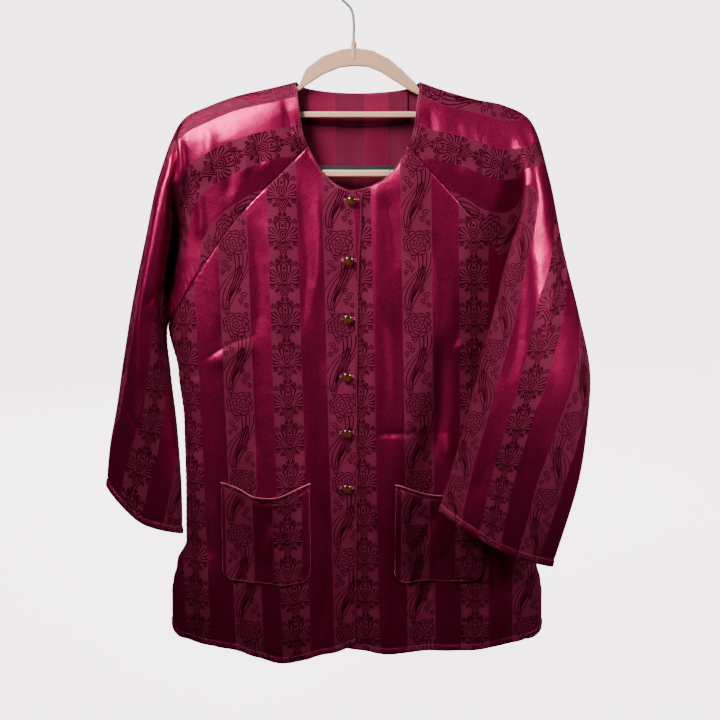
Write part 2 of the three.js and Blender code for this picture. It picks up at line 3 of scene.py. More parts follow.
import bpy
import numpy as np
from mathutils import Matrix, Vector


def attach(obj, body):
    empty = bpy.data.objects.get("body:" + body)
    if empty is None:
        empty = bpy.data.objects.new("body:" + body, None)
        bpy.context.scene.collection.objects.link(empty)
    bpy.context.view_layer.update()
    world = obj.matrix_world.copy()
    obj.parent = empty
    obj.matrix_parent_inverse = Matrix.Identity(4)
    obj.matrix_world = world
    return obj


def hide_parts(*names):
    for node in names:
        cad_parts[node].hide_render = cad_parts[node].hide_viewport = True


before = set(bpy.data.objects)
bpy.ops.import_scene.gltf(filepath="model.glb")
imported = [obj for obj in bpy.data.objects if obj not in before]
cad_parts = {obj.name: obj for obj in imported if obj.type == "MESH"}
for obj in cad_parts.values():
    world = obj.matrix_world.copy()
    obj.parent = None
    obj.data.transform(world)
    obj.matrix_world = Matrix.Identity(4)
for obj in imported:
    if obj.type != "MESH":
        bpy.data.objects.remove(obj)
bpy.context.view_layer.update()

# ---------------------------------------------------------------- the brocade
# Wine satin with two figured stripes in each 132 mm repeat: peonies with feathered sprays,
# and mirrored medallions with a drop in the middle. Lines are satin on a matte rose ground.
# In mm: the repeat across the cloth, each stripe's middle and half width, and its step down it
REPEAT = 132.0
PEONY_MIDDLE, PEONY_HALF, PEONY_STEP = 18.5, 18.24, 100.0
MEDALLION_MIDDLE, MEDALLION_HALF, MEDALLION_STEP = 85.0, 17.28, 51.0
MEDALLION_NARROWING = 0.88
FLOWER_AT, SPRAY_START = 17.0, 31.0
LINE_SOFT, LINE_WEIGHT = 0.3, 1.2
MATTE_DARK, MATTE_LIGHT = (0.13, 0.008, 0.030), (0.21, 0.015, 0.056)
SATIN_DARK, SATIN_LIGHT = (0.24, 0.005, 0.036), (0.60, 0.018, 0.14)
LINE_COLOUR, REVERSE_COLOUR = (0.060, 0.0012, 0.010), (0.44, 0.020, 0.090)
EDGE_DARK, EDGE_LIGHT = (0.15, 0.006, 0.030), (0.34, 0.022, 0.080)


class Value:
    """A number in a node tree, so that the pattern reads as arithmetic."""

    def __init__(self, tree, socket):
        self.tree, self.socket = tree, socket

    def math(self, operation, other=None, third=None, clamp=False):
        node = self.tree.nodes.new("ShaderNodeMath")
        node.operation = operation
        node.use_clamp = clamp
        for place, item in enumerate((self, other, third)):
            if isinstance(item, Value):
                self.tree.links.new(item.socket, node.inputs[place])
            elif item is not None:
                node.inputs[place].default_value = item
        return Value(self.tree, node.outputs[0])

    def __add__(self, other):
        return self.math("ADD", other)

    def __sub__(self, other):
        return self.math("SUBTRACT", other)

    def __mul__(self, other):
        return self.math("MULTIPLY", other)

    def __truediv__(self, other):
        return self.math("DIVIDE", other)

    def __pow__(self, other):
        return self.math("POWER", other)

    def abs(self):
        return self.math("ABSOLUTE")

    def wrap(self, high, low=0.0):
        return self.math("WRAP", high, low)

    def at_least(self, other):
        return self.math("MAXIMUM", other)

    def above(self, limit):
        return self.math("GREATER_THAN", limit)

    def below(self, limit):
        return self.math("LESS_THAN", limit)

    def sin(self):
        return self.math("SINE")

    def flipped(self):
        return self.math("MULTIPLY_ADD", -1.0, 1.0)


def band(distance, half):
    """1 inside a band and 0 outside it, with a soft edge; distance is from the band's middle."""
    return distance.abs().math("MULTIPLY_ADD", -1 / LINE_SOFT, half / LINE_SOFT + 0.5, clamp=True)


def line(distance, half):
    """A line of the figure, woven LINE_WEIGHT times as wide as it is given."""
    return band(distance, half * LINE_WEIGHT)


def distance_to(x, y, px, py):
    across, down = x - px, y - py
    return (across * across + down * down).math("SQRT")


def curl(x, y, px, py, radius, lean=1.0):
    """A small scroll: an open ring that winds in to a dot. lean turns its mouth right or left."""
    away = distance_to(x, y, px, py)
    mouth = ((x - px) * lean + (y - py) * 0.6).below(radius * 0.75)
    ring = line(away - radius, 0.5) * mouth
    inner = line(distance_to(x, y, px + 0.3 * lean, py + 0.3) - radius * 0.32, 0.45)
    return ring.at_least(inner)


def plume(x, q, middle, width, first, last):
    """A feather of strands that run together at its tail."""
    across = (x - middle) * 0.88
    share = across / width
    strands = line((share * 2.0).wrap(0.5, -0.5) * width * 0.5, 0.5)
    return strands * (share.abs() - 1.08).below(0.0) * q.above(first) * q.below(last)


def peony_stripe(x, y):
    """x is from the stripe's middle and y down the cloth, in mm."""
    q = y.wrap(PEONY_STEP)
    away = distance_to(x * 0.92, q, 0.0, FLOWER_AT)
    turn = (q - FLOWER_AT).math("ARCTAN2", x * 0.92)
    drawn = line(away, 1.0)
    for petals, start, radius, bulge in ((2.5, 1.3, 2.6, 1.9), (3.0, 0.7, 6.0, 2.2),
                                         (3.5, 2.1, 9.6, 2.3), (4.0, 0.2, 13.0, 2.4)):
        petal = (turn * petals + start).sin().abs() * bulge
        drawn = drawn.at_least(line(away - petal - radius, 0.56))
    ribs = (turn * 12.0 + away * 0.3).sin().above(0.86) * away.above(7.6) * away.below(14.6)
    drawn = drawn.at_least(ribs * 0.8)
    # two feathered sprays swing from the right edge to the left one, between two flowers
    down = ((q - SPRAY_START) / (PEONY_STEP - SPRAY_START)).at_least(0.0)
    swing = (down * math.pi + math.pi / 2).sin()
    bow = (down * math.pi).sin()
    fade = (down * -1.25 + 1.12).at_least(0.08)
    grow = (down - 0.2).at_least(0.0) * (down * -1.0 + 1.02).at_least(0.0) * 5.5 + 0.08
    drawn = drawn.at_least(plume(x, q, swing * 11.5 + bow * 2.6, fade * 8.6, 29.0, 88.0))
    drawn = drawn.at_least(plume(x, q, swing * 11.5 - bow * 2.6, grow * 9.6, 44.0, 99.0))
    dots = line(x - swing * 7.6, 0.8) * (q * (2 * math.pi / 3.0)).sin().above(-0.1)
    drawn = drawn.at_least(dots * q.above(33.0) * swing.abs().above(0.45))
    for px, py, radius, lean in ((-5.0, 35.0, 3.4, -1), (-11.6, 42.0, 3.9, -1), (-5.8, 48.0, 2.9, 1),
                                 (-13.0, 52.5, 2.8, 1), (-10.4, 2.0, 2.8, 1), (12.6, 4.0, 2.6, -1),
                                 (6.0, 74.5, 2.9, 1), (11.8, 81.0, 3.9, 1), (6.2, 88.0, 3.0, -1),
                                 (13.4, 92.5, 2.6, -1)):
        drawn = drawn.at_least(curl(x, q, px, py, radius, lean))
    return drawn


def medallion_stripe(x, y):
    """The left half mirrors the right one; x is from the stripe's middle, y down the cloth."""
    h = x.abs()
    q = y.wrap(MEDALLION_STEP / 2, -MEDALLION_STEP / 2) * -1.0
    under = (q * -1.0).at_least(0.0)
    narrow = h * (under * 0.11 + 1.0)
    tall = q.at_least(0.0) - under * 0.5
    drop = (narrow * narrow + tall * tall).math("SQRT")
    drawn = line(drop - 3.0, 0.6).at_least(line(drop - 5.4, 0.55)).at_least(line(drop, 1.0))
    # curved leaves fan out around the drop
    away = distance_to(h, q, 0.0, -1.5)
    turn = (q + 1.5).math("ARCTAN2", h)
    reach = (turn * 3.6 + 0.4).sin().abs() * 4.2 + 13.6
    fan = line((turn * 9.6 - away * 0.30 + 0.6).sin() * 1.9, 0.95)
    fan = fan * away.above(7.0) * (reach - away).above(0.0) * q.above(-11.5) * h.above(1.2)
    tips = line(away - reach, 0.6) * (turn * 9.6 - away * 0.30 + 0.6).sin().above(0.0) * q.above(-9.0)
    drawn = drawn.at_least(fan).at_least(tips * q.below(14.0))
    # the cone below runs down to the point where the next medallion starts
    low = q.below(-8.5) * q.above(-21.5)
    cone = h - (q + 21.5) * 0.58
    for inset in (0.0, 2.2, 4.2):
        drawn = drawn.at_least(line(cone + inset, 0.52) * low * h.above(0.25))
    # leafy lace ties one medallion to the next
    lace = h - (q * (math.pi / MEDALLION_STEP)).sin().abs().flipped() ** 0.75 * 15.0 - 1.8
    lace = line(lace, 0.55).at_least(line(lace + 2.2, 0.5) * (q * 1.9).sin().above(-0.35))
    drawn = drawn.at_least(lace * q.abs().above(13.0))
    for px, py, radius, lean in ((12.4, -12.0, 2.3, 1), (13.2, 15.4, 2.4, 1), (2.4, 23.4, 1.6, -1),
                                 (0.0, 10.4, 1.5, 1), (7.0, 19.4, 1.8, 1), (8.2, -16.8, 1.8, 1)):
        drawn = drawn.at_least(curl(h, q, px, py, radius, lean))
    crown = line(distance_to(h, q, 2.6, 12.0) - 4.4, 0.5)
    crown = crown.at_least(line(distance_to(h, q, 3.0, 11.6) - 6.8, 0.5))
    return drawn.at_least(crown * q.above(12.4))


def node(tree, kind, **inputs):
    made = tree.nodes.new(kind)
    for name, value in inputs.items():
        key = name.replace("_", " ")
        if isinstance(value, bpy.types.NodeSocket):
            tree.links.new(value, made.inputs[key])
        else:
            made.inputs[key].default_value = value
    return made


def new_group(name, entering, *leaving):
    """An empty node group that takes a vector and gives numbers."""
    tree = bpy.data.node_groups.new(name, "ShaderNodeTree")
    tree.interface.new_socket(entering, in_out="INPUT", socket_type="NodeSocketVector")
    for output in leaving:
        tree.interface.new_socket(output, in_out="OUTPUT", socket_type="NodeSocketFloat")
    return tree, tree.nodes.new("NodeGroupInput").outputs[0], tree.nodes.new("NodeGroupOutput")


def brocade_group():
    """Outputs the share of satin, 1 on plain satin and on lines, then the figure's lines alone."""
    tree, cloth, leave = new_group("brocade", "Cloth", "Satin", "Lines")
    parts = tree.nodes.new("ShaderNodeSeparateXYZ")
    tree.links.new(cloth, parts.inputs[0])
    u = Value(tree, parts.outputs[0]) * 1000.0
    v = Value(tree, parts.outputs[1]) * 1000.0
    place = u.wrap(REPEAT)
    on_peony = band(place - PEONY_MIDDLE, PEONY_HALF)
    on_medallion = band(place - MEDALLION_MIDDLE, MEDALLION_HALF)
    figure = (peony_stripe(place - PEONY_MIDDLE, v) * on_peony).at_least(
        medallion_stripe((place - MEDALLION_MIDDLE) * MEDALLION_NARROWING, v) * on_medallion)
    ground = on_peony.at_least(on_medallion) * figure.flipped()
    tree.links.new(ground.flipped().socket, leave.inputs[0])
    tree.links.new(figure.socket, leave.inputs[1])
    return tree


def weave_group():
    """The grain of the satin's weave, as fine speckles."""
    tree, place, leave = new_group("satin_weave", "Place", "Grain")
    grain = node(tree, "ShaderNodeTexNoise", Vector=place, Scale=900.0, Detail=2.0)
    tree.links.new(grain.outputs[0], leave.inputs[0])
    return tree


BROCADE_FIGURES = brocade_group()
SATIN_WEAVE = weave_group()


def placed_group(tree, group, vector):
    """Puts a group in a material and feeds it a vector; returns its outputs."""
    made = tree.nodes.new("ShaderNodeGroup")
    made.node_tree = group
    tree.links.new(vector, made.inputs[0])
    return [Value(tree, socket) for socket in made.outputs]


def object_place(tree):
    return tree.nodes.new("ShaderNodeTexCoord").outputs["Object"]


def noise(tree, scale, detail):
    """Soft noise that stays still on its piece."""
    made = node(tree, "ShaderNodeTexNoise", Vector=object_place(tree), Scale=scale, Detail=detail)
    return Value(tree, made.outputs[0])


def mixed(tree, factor, first, second):
    made = tree.nodes.new("ShaderNodeMix")
    made.data_type = "RGBA"
    tree.links.new(factor.socket, made.inputs[0])
    for place, colour in ((6, first), (7, second)):
        if isinstance(colour, bpy.types.NodeSocket):
            tree.links.new(colour, made.inputs[place])
        else:
            made.inputs[place].default_value = (*colour, 1.0)
    return made.outputs[2]


def new_material(name, **values):
    """A material with plain values on its shader; returns it, its tree and the shader."""
    material = bpy.data.materials.new(name)
    material.use_nodes = True
    shader = material.node_tree.nodes["Principled BSDF"]
    for socket, value in values.items():
        shader.inputs[socket.replace("_", " ")].default_value = value
    return material, material.node_tree, shader


def feed(tree, shader, **sources):
    """Links values or colours to the shader's sockets."""
    for name, source in sources.items():
        tree.links.new(getattr(source, "socket", source), shader.inputs[name.replace("_", " ")])


def bumped(tree, height, **settings):
    return node(tree, "ShaderNodeBump", Height=height.socket, **settings).outputs[0]


def brocade_material(name, reverse):
    """The brocade's face, or its duller reverse, on which the figures show only faintly."""
    material, tree, shader = new_material(name, Specular_IOR_Level=0.12)
    cloth = tree.nodes.new("ShaderNodeUVMap")
    cloth.uv_map = "cloth"
    share, lines = placed_group(tree, BROCADE_FIGURES, cloth.outputs[0])
    grain, = placed_group(tree, SATIN_WEAVE, object_place(tree))
    speckle = grain.math("MULTIPLY_ADD", 1.8, -0.4, clamp=True)
    matte = mixed(tree, noise(tree, 14.0, 3.0), MATTE_DARK, MATTE_LIGHT)
    if reverse:
        share = (share - lines * 0.75) * 0.5
        glossy = REVERSE_COLOUR
    else:
        glossy = mixed(tree, lines, mixed(tree, speckle, SATIN_DARK, SATIN_LIGHT), LINE_COLOUR)
    # fine weave and small rumples
    height = grain * 0.0002 + noise(tree, 70.0, 2.0) * 0.0013
    feed(tree, shader, Base_Color=mixed(tree, share, matte, glossy), Metallic=share * 0.92 + 0.02,
         Roughness=share * -0.23 + 0.62 + speckle * 0.05,
         Normal=bumped(tree, height, Strength=0.6, Distance=1.0))
    return material


def edge_material():
    """The same satin where it is turned over a seam allowance, with no figure."""
    material, tree, shader = new_material("wine_satin_edge", Metallic=0.35, Roughness=0.42)
    grain, = placed_group(tree, SATIN_WEAVE, object_place(tree))
    feed(tree, shader, Base_Color=mixed(tree, grain, EDGE_DARK, EDGE_LIGHT))
    return material


BROCADE = brocade_material("wine_brocade", False)
BROCADE_REVERSE = brocade_material("wine_brocade_reverse", True)
BROCADE_EDGE = edge_material()

# ---------------------------------------------------------------- the two fronts
# Flat panels with a buttoned edge each, the right front lapped over the left one. They hang in
# soft vertical folds, with a short bust dart on each side and puckers beside the buttons.
CLOTH_THICK = 0.7
BODY_X = 5.0
NECK_X, NECK_Z, NECK_HALF, NECK_FRONT, NECK_BACK = 7.0, -128.0, 74.0, 128.0, 13.0
HEM_Z, SLIT_TOP, SEAM = -832.0, -702.0, 0.3
SLIT_GAP, SLIT_EASE = 7, 60
UNDERARM_Z = -421.0
FOLDS_START, FOLDS_GROW = -300, 420
# Where the raglan seams leave the neckline, as shares of its quarter turn, and the points between
# the neck and the underarm, as x and z on the wearer's right
RAGLAN_FRONT, RAGLAN_BACK = 0.40, 0.27
FRONT_SEAM, SEAM_MIRROR = ((-137, -286), (-173, -334)), 6
# The cloth stands out from the hanger by TOP at the shoulder, and by a gain more down the body
TOP, FRONT_GAIN, GAIN_FALL = 7, 31, 210
# The fronts' rows and columns, and the share of their rows that lies along the neck
FRONT_ROWS, FRONT_COLS, NECK_PART = 250, 112, 0.125
HEM_RIGHT = {"sag": 24.0, "lean": 0.75, "sharp": 1.3, "rise": 2.0}
HEM_LEFT = {"sag": 13.0, "lean": 0.8, "sharp": 0.6, "rise": 0.0}
HEM_DEEP = 7.5
# The front edge, as level and x, and the side seams, as level and distance from the body's middle
OPENING = ((-256, 11), (-386, 6.5), (-511, 5), (-641, 5), (-840, 3))
SIDE_RIGHT = ((-421, 234), (-482, 223), (-540, 218), (-615, 218), (-702, 220), (-740, 233),
              (-785, 240), (-840, 241))
SIDE_LEFT = ((-421, 227), (-482, 217), (-540, 214), (-615, 217), (-702, 221), (-740, 234),
             (-785, 241), (-840, 242))
# Soft vertical folds: middle, half width, depth at the hem (+ is outwards)
FRONT_FOLDS = ((-196, 24, 5), (-150, 26, -6), (-92, 32, 8), (-42, 24, -6), (44, 30, 5), (96, 32, -5),
               (160, 30, 4), (205, 22, -3))
# Creases of the front: from x, z to x, z, then half width and depth (+ is outwards)
FRONT_CREASES = (
    (-181, -459, -125, -430, 1.6, -2.4), (-176, -468, -120, -441, 9, 2.6),
    (-217, -491, -190, -482, 2.2, -3), (138, -435, 162, -452, 2.0, -3.1), (150, -452, 128, -440, 8, 3),
    (30, -553, 92, -556, 3.5, -1.8), (-60, -268, -58, -420, 9, -3.2), (-38, -262, -48, -400, 7, 2),
    (-120, -300, -112, -430, 10, -2.6), (-98, -290, -92, -400, 8, 1.9), (-150, -330, -160, -450, 9, -2.2),
    (-205, -470, -196, -600, 7, -3.9), (-75, -420, -66, -600, 11, -5.8),
    (-132, -470, -138, -640, 10, -4.9), (40, -262, 52, -350, 7, -1.9), (62, -270, 74, -372, 7, 1.8),
    (95, -300, 110, -420, 9, -2.3), (50, -400, 46, -580, 10, -3.9), (112, -440, 100, -600, 10, -4.3),
    (-30, -640, -38, -820, 9, -4.3), (24, -640, 34, -820, 8, -3.9), (-176, -640, -184, -800, 8, 3.4),
    (-128, -560, -120, -700, 9, 3.0), (-84, -740, -78, -830, 8, 3.6), (118, -560, 124, -640, 9, 2.8),
    (76, -740, 84, -830, 8, 3.4), (150, -740, 158, -830, 8, -3.0), (-30, -470, -26, -600, 8, 2.4),
    (-190, -700, -200, -825, 9, 4.9), (186, -690, 196, -825, 9, 5.4), (-16, -700, -10, -830, 6, 3),
)


def lerp(a, b, t):
    return a + (b - a) * t


def smooth(t):
    t = np.clip(t, 0.0, 1.0)
    return t * t * (3 - 2 * t)


def at_level(table, z):
    """Value at a level z of a table of (z, value) rows, eased between the rows."""
    z = np.asarray(z, float)
    value = np.full(z.shape, float(table[0][1]))
    for (z0, v0), (z1, v1) in zip(table, table[1:]):
        value = np.where(z < z0, lerp(v0, v1, smooth((z0 - z) / (z0 - z1))), value)
    return value


def side_x(side, z):
    return BODY_X + side * at_level(SIDE_RIGHT if side < 0 else SIDE_LEFT, z)


def roundness(x, z):
    edge = np.where(x < BODY_X, side_x(-1, z), side_x(1, z))
    share = np.minimum(1.0, (x - BODY_X) / (edge - BODY_X))
    return np.sqrt(1 - share ** 4)


def fold_at(folds, x, z):
    total = 0.0
    for middle, half, out in folds:
        u = (x - middle) / half
        total = total + np.where(np.abs(u) < 1, out * 0.5 * (1 + np.cos(np.pi * u)), 0.0)
    return total * smooth((FOLDS_START - z) / FOLDS_GROW)


def crease_at(creases, x, z):
    """Troughs and ridges along short lines, fading towards their ends."""
    total = np.zeros(np.shape(x))
    for x0, z0, x1, z1, half, out in creases:
        length = math.hypot(x1 - x0, z1 - z0)
        along = ((x - x0) * (x1 - x0) + (z - z0) * (z1 - z0)) / length
        away = ((x - x0) * (z1 - z0) - (z - z0) * (x1 - x0)) / length
        bow = away + 0.05 * length * (np.sin(np.pi * np.clip(along / length, 0, 1)) - 0.5)
        ends = smooth((along / length + 0.12) / 0.34) * smooth((1.12 - along / length) / 0.34)
        total = total + out * np.exp(-(bow / half) ** 2) * ends
    return total


def depth_below_shoulder(gain, x, z):
    shoulder = NECK_Z - 0.36 * np.maximum(0, np.abs(x - NECK_X) - NECK_HALF)
    return TOP + gain * (1 - np.exp(-np.maximum(0, shoulder - z) / GAIN_FALL))


def slit_part(z):
    return SEAM + SLIT_GAP * smooth((SLIT_TOP - z) / SLIT_EASE)


def front_y(x, z):
    ease = 5 * smooth((x - 20) / 110) * smooth((FOLDS_START - z) / 200)
    depth = depth_below_shoulder(FRONT_GAIN, x, z) - ease + fold_at(FRONT_FOLDS, x, z)
    round_off = roundness(x, z)
    creases = crease_at(FRONT_CREASES, x, z) * round_off
    return -depth * round_off - slit_part(z) * (1 - round_off) - creases


def neck_point(side, share, front):
    angle = np.asarray(share, float) * np.pi / 2
    drop = NECK_FRONT if front else NECK_BACK
    deep = -16.0 if front else 14.0
    return np.stack([NECK_X + side * NECK_HALF * np.cos(angle), deep * np.sin(angle) ** 0.45,
                     NECK_Z - drop * np.sin(angle)], -1)


def spline(points, t):
    """Centripetal Catmull-Rom curve through the points, for t from 0 to 1."""
    points = np.asarray(points, float)
    ends = np.vstack([2 * points[0] - points[1], points, 2 * points[-1] - points[-2]])
    place = np.clip(np.asarray(t, float), 0, 1) * (len(points) - 1)
    k = np.minimum(place.astype(int), len(points) - 2)
    w = (place - k)[:, None]
    p0, p1, p2, p3 = (ends[k + i] for i in range(4))
    g0, g1, g2 = (np.maximum(np.sum((b - a) ** 2, 1) ** 0.25, 1e-4)[:, None]
                  for a, b in ((p0, p1), (p1, p2), (p2, p3)))
    t1 = ((p1 - p0) / g0 - (p2 - p0) / (g0 + g1) + (p2 - p1) / g1) * g1
    t2 = ((p2 - p1) / g1 - (p3 - p1) / (g1 + g2) + (p3 - p2) / g2) * g1
    curve = (-3 * p1 + 3 * p2 - 2 * t1 - t2) * w ** 2 + (2 * p1 - 2 * p2 + t1 + t2) * w ** 3
    return p1 + t1 * w + curve


def arc_lengths(points):
    steps = np.linalg.norm(np.diff(points, axis=0), axis=1)
    return np.concatenate([[0.0], np.cumsum(steps)])


class Raglan:
    """The raglan seam on one side of the front or the back."""

    def __init__(self, side, front, middle, surface):
        self.start = neck_point(side, RAGLAN_FRONT if front else RAGLAN_BACK, front)
        corner = (float(side_x(side, UNDERARM_Z)), 0.0, UNDERARM_Z)
        placed = [(x if side < 0 else SEAM_MIRROR - x, 0.0, z) for x, z in middle]
        self.points = [(self.start[0], 0.0, self.start[2]), *placed, corner]
        self.t = np.linspace(0, 1, 201)
        self.lengths = arc_lengths(spline(self.points, self.t))
        self.length = self.lengths[-1]
        self.surface = surface

    def at(self, share):
        share = np.clip(np.atleast_1d(np.asarray(share, float)), 0, 1)
        p = spline(self.points, np.interp(share * self.length, self.lengths, self.t))
        p[:, 1] = lerp(self.start[1], self.surface(p[:, 0], p[:, 2]), smooth(share / 0.12))
        return p


SEAM_FRONT_RIGHT = Raglan(-1, True, FRONT_SEAM, front_y)
SEAM_FRONT_LEFT = Raglan(1, True, FRONT_SEAM, front_y)


def outer_edge(side, seam, t):
    """Down the raglan seam, then down the side."""
    walked = t * (seam.length + UNDERARM_Z - HEM_Z)
    z = UNDERARM_Z - (walked - seam.length)
    straight = np.stack([side_x(side, z), np.zeros_like(z), z], -1)
    return np.where((walked < seam.length)[:, None], seam.at(walked / seam.length), straight)


def hem_level(share, sag=23.0, lean=1.0, sharp=1.3, rise=6.0):
    near_side = np.clip((share - 0.93) / 0.07, 0, 1)
    dip = np.sin(np.pi * np.clip(share ** lean * 1.08, 0, 1)).clip(0) ** sharp
    return HEM_Z - sag * dip + rise * share + 16 * (1 - np.sqrt(1 - near_side ** 2))


def bunched(s):
    return 1 - (1 - s) ** 1.5


def front_grid(side, seam, shift, behind, hem):
    """shift moves the front edge sideways, and behind sets its lap back under the other front."""
    t = np.linspace(0, 1, FRONT_ROWS)
    outer = outer_edge(side, seam, t)
    neck = neck_point(side, np.clip(lerp(RAGLAN_FRONT, 1, t / NECK_PART), 0, 1), True)
    neck[:, 0] += shift * np.clip(t / NECK_PART, 0, 1) ** 3
    level = lerp(NECK_Z - NECK_FRONT, HEM_Z, (t - NECK_PART) / (1 - NECK_PART))
    edge = np.stack([at_level(OPENING, level) + shift, np.zeros(FRONT_ROWS), level], -1)
    inner = np.where((t < NECK_PART)[:, None], neck, edge)
    pull = smooth((t - 0.8) / 0.2)[:, None]
    s = bunched(np.linspace(0, 1, FRONT_COLS))[None, :]
    x = lerp(inner[:, :1], outer[:, :1], s)
    z = lerp(inner[:, 2:], outer[:, 2:], s) + pull * (hem_level(s, **hem) - HEM_Z)
    blend = (1 - s) ** 2 * (1 - smooth(t[:, None] / NECK_PART))
    y = lerp(front_y(x, z), inner[:, 1:2], blend) + behind * smooth((26 - (x - BODY_X)) / 12)
    return np.stack([x, y, z], -1)


def normals_of(grid, out):
    """Normals towards the cloth's face; out is 1 or -1, by the way that the rows run."""
    across = np.gradient(grid, axis=1)
    down = np.gradient(grid, axis=0)
    n = np.cross(across, down)
    return out * n / np.maximum(np.linalg.norm(n, axis=2, keepdims=True), 1e-9)


def seam_pucker(grid, out, first, last, size=0.35, reach=7.0, wave=8.5):
    """Small ripples beside a sewn edge, and a roll inwards at the seam itself."""
    n = normals_of(grid, out)
    moved = grid.copy()
    for used, step in ((first, 1), (last, -1)):
        if not used:
            continue
        line_up = grid[:, ::step]
        away = np.concatenate([np.zeros((len(grid), 1)),
                               np.cumsum(np.linalg.norm(np.diff(line_up, axis=1), axis=2), 1)], 1)
        down = arc_lengths(line_up[:, 0])[:, None]
        ripple = np.sin(2 * np.pi * down / wave + 1.7 * np.sin(down / 23.0)) * size
        shift = ripple * np.exp(-away / reach) - 0.55 * np.exp(-(away / 1.6) ** 2)
        moved += n * (shift[:, ::step])[..., None]
    return moved


def hem_turned(grid, out, deep, edge="bottom", size=0.9, wave=11.0):
    """The doubled cloth of a hem stands out a little, with a sewn dip and puckers above it."""
    n = normals_of(grid, out)
    line_up = grid[::-1] if edge == "bottom" else grid
    steps = np.linalg.norm(np.diff(line_up, axis=0), axis=2)
    away = np.concatenate([np.zeros((1, grid.shape[1])), np.cumsum(steps, 0)])
    across = arc_lengths(line_up[0])[None, :]
    ripple = np.sin(2 * np.pi * across / wave + 1.9 * np.sin(across / 31.0))
    shift = size * (1 - smooth((away - deep + 1.5) / 2.0))
    shift -= 0.8 * np.exp(-((away - deep - 1.0) / 2.2) ** 2)
    shift += ripple * 0.45 * np.exp(-np.abs(away - deep) / 6.0)
    return grid + n * (shift[::-1] if edge == "bottom" else shift)[..., None]


def new_piece(name, mesh, *materials):
    for material in materials:
        mesh.materials.append(material)
    made = bpy.data.objects.new(name, mesh)
    bpy.context.collection.objects.link(made)
    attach(made, "root")
    return made


def sheet_mesh(name, grid, out, u, v, material=BROCADE, thick=CLOTH_THICK):
    """A thin closed cloth on a grid of points in mm, with a rounded rim and a UV map in metres."""
    rows, cols = grid.shape[:2]
    n = normals_of(grid, out) * thick / 2
    top, under = grid + n, grid - n
    edge = ([(0, i) for i in range(cols)] + [(j, cols - 1) for j in range(1, rows)]
            + [(rows - 1, i) for i in range(cols - 2, -1, -1)] + [(j, 0) for j in range(rows - 2, 0, -1)])
    edge_j, edge_i = np.array(edge).T
    inner_j = np.clip(edge_j, 1, rows - 2)
    inner_i = np.clip(edge_i, 1, cols - 2)
    outward = grid[edge_j, edge_i] - grid[inner_j, inner_i]
    outward /= np.maximum(np.linalg.norm(outward, axis=1, keepdims=True), 1e-9)
    rim = grid[edge_j, edge_i] + outward * thick * 0.4
    points = np.vstack([top.reshape(-1, 3), under.reshape(-1, 3), rim]) * 0.001
    index = np.arange(rows * cols).reshape(rows, cols)
    a, b, c, d = index[:-1, :-1], index[:-1, 1:], index[1:, 1:], index[1:, :-1]
    faces_top = np.stack([a, b, c, d] if out > 0 else [a, d, c, b], -1).reshape(-1, 4)
    faces_under = faces_top[:, ::-1] + rows * cols
    loop = index[edge_j, edge_i]
    rim_index = 2 * rows * cols + np.arange(len(edge))
    after = np.roll(loop, -1)
    rim_after = np.roll(rim_index, -1)
    up = np.stack([loop, rim_index, rim_after, after], -1)
    low = np.stack([loop + rows * cols, after + rows * cols, rim_after, rim_index], -1)
    if out < 0:
        up, low = up[:, ::-1], low[:, ::-1]
    faces = np.vstack([faces_top, faces_under, up, low])
    mesh = bpy.data.meshes.new(name)
    mesh.vertices.add(len(points))
    mesh.vertices.foreach_set("co", points.ravel())
    mesh.loops.add(faces.size)
    mesh.loops.foreach_set("vertex_index", faces.ravel().astype(np.int32))
    mesh.polygons.add(len(faces))
    mesh.polygons.foreach_set("loop_start", np.arange(0, faces.size, 4, dtype=np.int32))
    mesh.polygons.foreach_set("use_smooth", np.ones(len(faces), bool))
    mesh.update(calc_edges=True)
    mesh.validate()
    uv = np.stack([u, v], -1).reshape(-1, 2) * 0.001
    uv = np.vstack([uv, uv, np.stack([u[edge_j, edge_i], v[edge_j, edge_i]], -1) * 0.001])
    layer = mesh.uv_layers.new(name="cloth")
    layer.data.foreach_set("uv", uv[faces.ravel()].ravel())
    made = new_piece(name, mesh, material, BROCADE_REVERSE)
    shows_reverse = np.zeros(len(faces), np.int32)
    shows_reverse[len(faces_top):2 * len(faces_top)] = 1
    mesh.polygons.foreach_set("material_index", shows_reverse)
    return made


# Where the stripes meet on the cloth as it hangs: x on the body, and the place in the repeat
STRIPES_RIGHT = ((-240, -84), (-189, -30), (-158, 0), (-121, 37), (-96, 68), (-61, 102),
                 (-30, 132), (8, 169))
STRIPES_LEFT = ((-20, 55), (-6, 68), (28, 102), (64, 132), (101, 169), (134, 200), (169, 234),
                (200, 264), (240, 303))
# The stripes lean a little with the level, and this is the level where they don't
STRIPES_LEVEL, STRIPES_LEAN = -529, 0.022


def stripes(table, x):
    places, values = zip(*table)
    return np.interp(x, places, values)


right_front = seam_pucker(front_grid(-1, SEAM_FRONT_RIGHT, 0, 0, HEM_RIGHT), 1, False, True)
right_front = hem_turned(right_front, 1, HEM_DEEP)
left_front = seam_pucker(front_grid(1, SEAM_FRONT_LEFT, -24, 2.1, HEM_LEFT), -1, False, True)
left_front = hem_turned(left_front, -1, HEM_DEEP)
for name, grid, out, table, flat, area in (
        ("right_front", right_front, 1, STRIPES_RIGHT, (0.266, 0.70), 0.137),
        ("left_front", left_front, -1, STRIPES_LEFT, (0.29, 0.70), 0.146)):
    lean = (grid[..., 2] - STRIPES_LEVEL) * STRIPES_LEAN
    made = sheet_mesh(name + "_cloth", grid, out, stripes(table, grid[..., 0] + lean), -grid[..., 2])
    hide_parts(name)

# ---------------------------------------------------------------- the back
# One plain panel behind, cut to a shallow neckline, with the same stripes running down it. Its
# folds hang from the shoulders, and like the fronts it parts at the side slits.
BACK_GAIN, BACK_NECK_PART, NECK_SET_BACK = 27, 0.09, 14
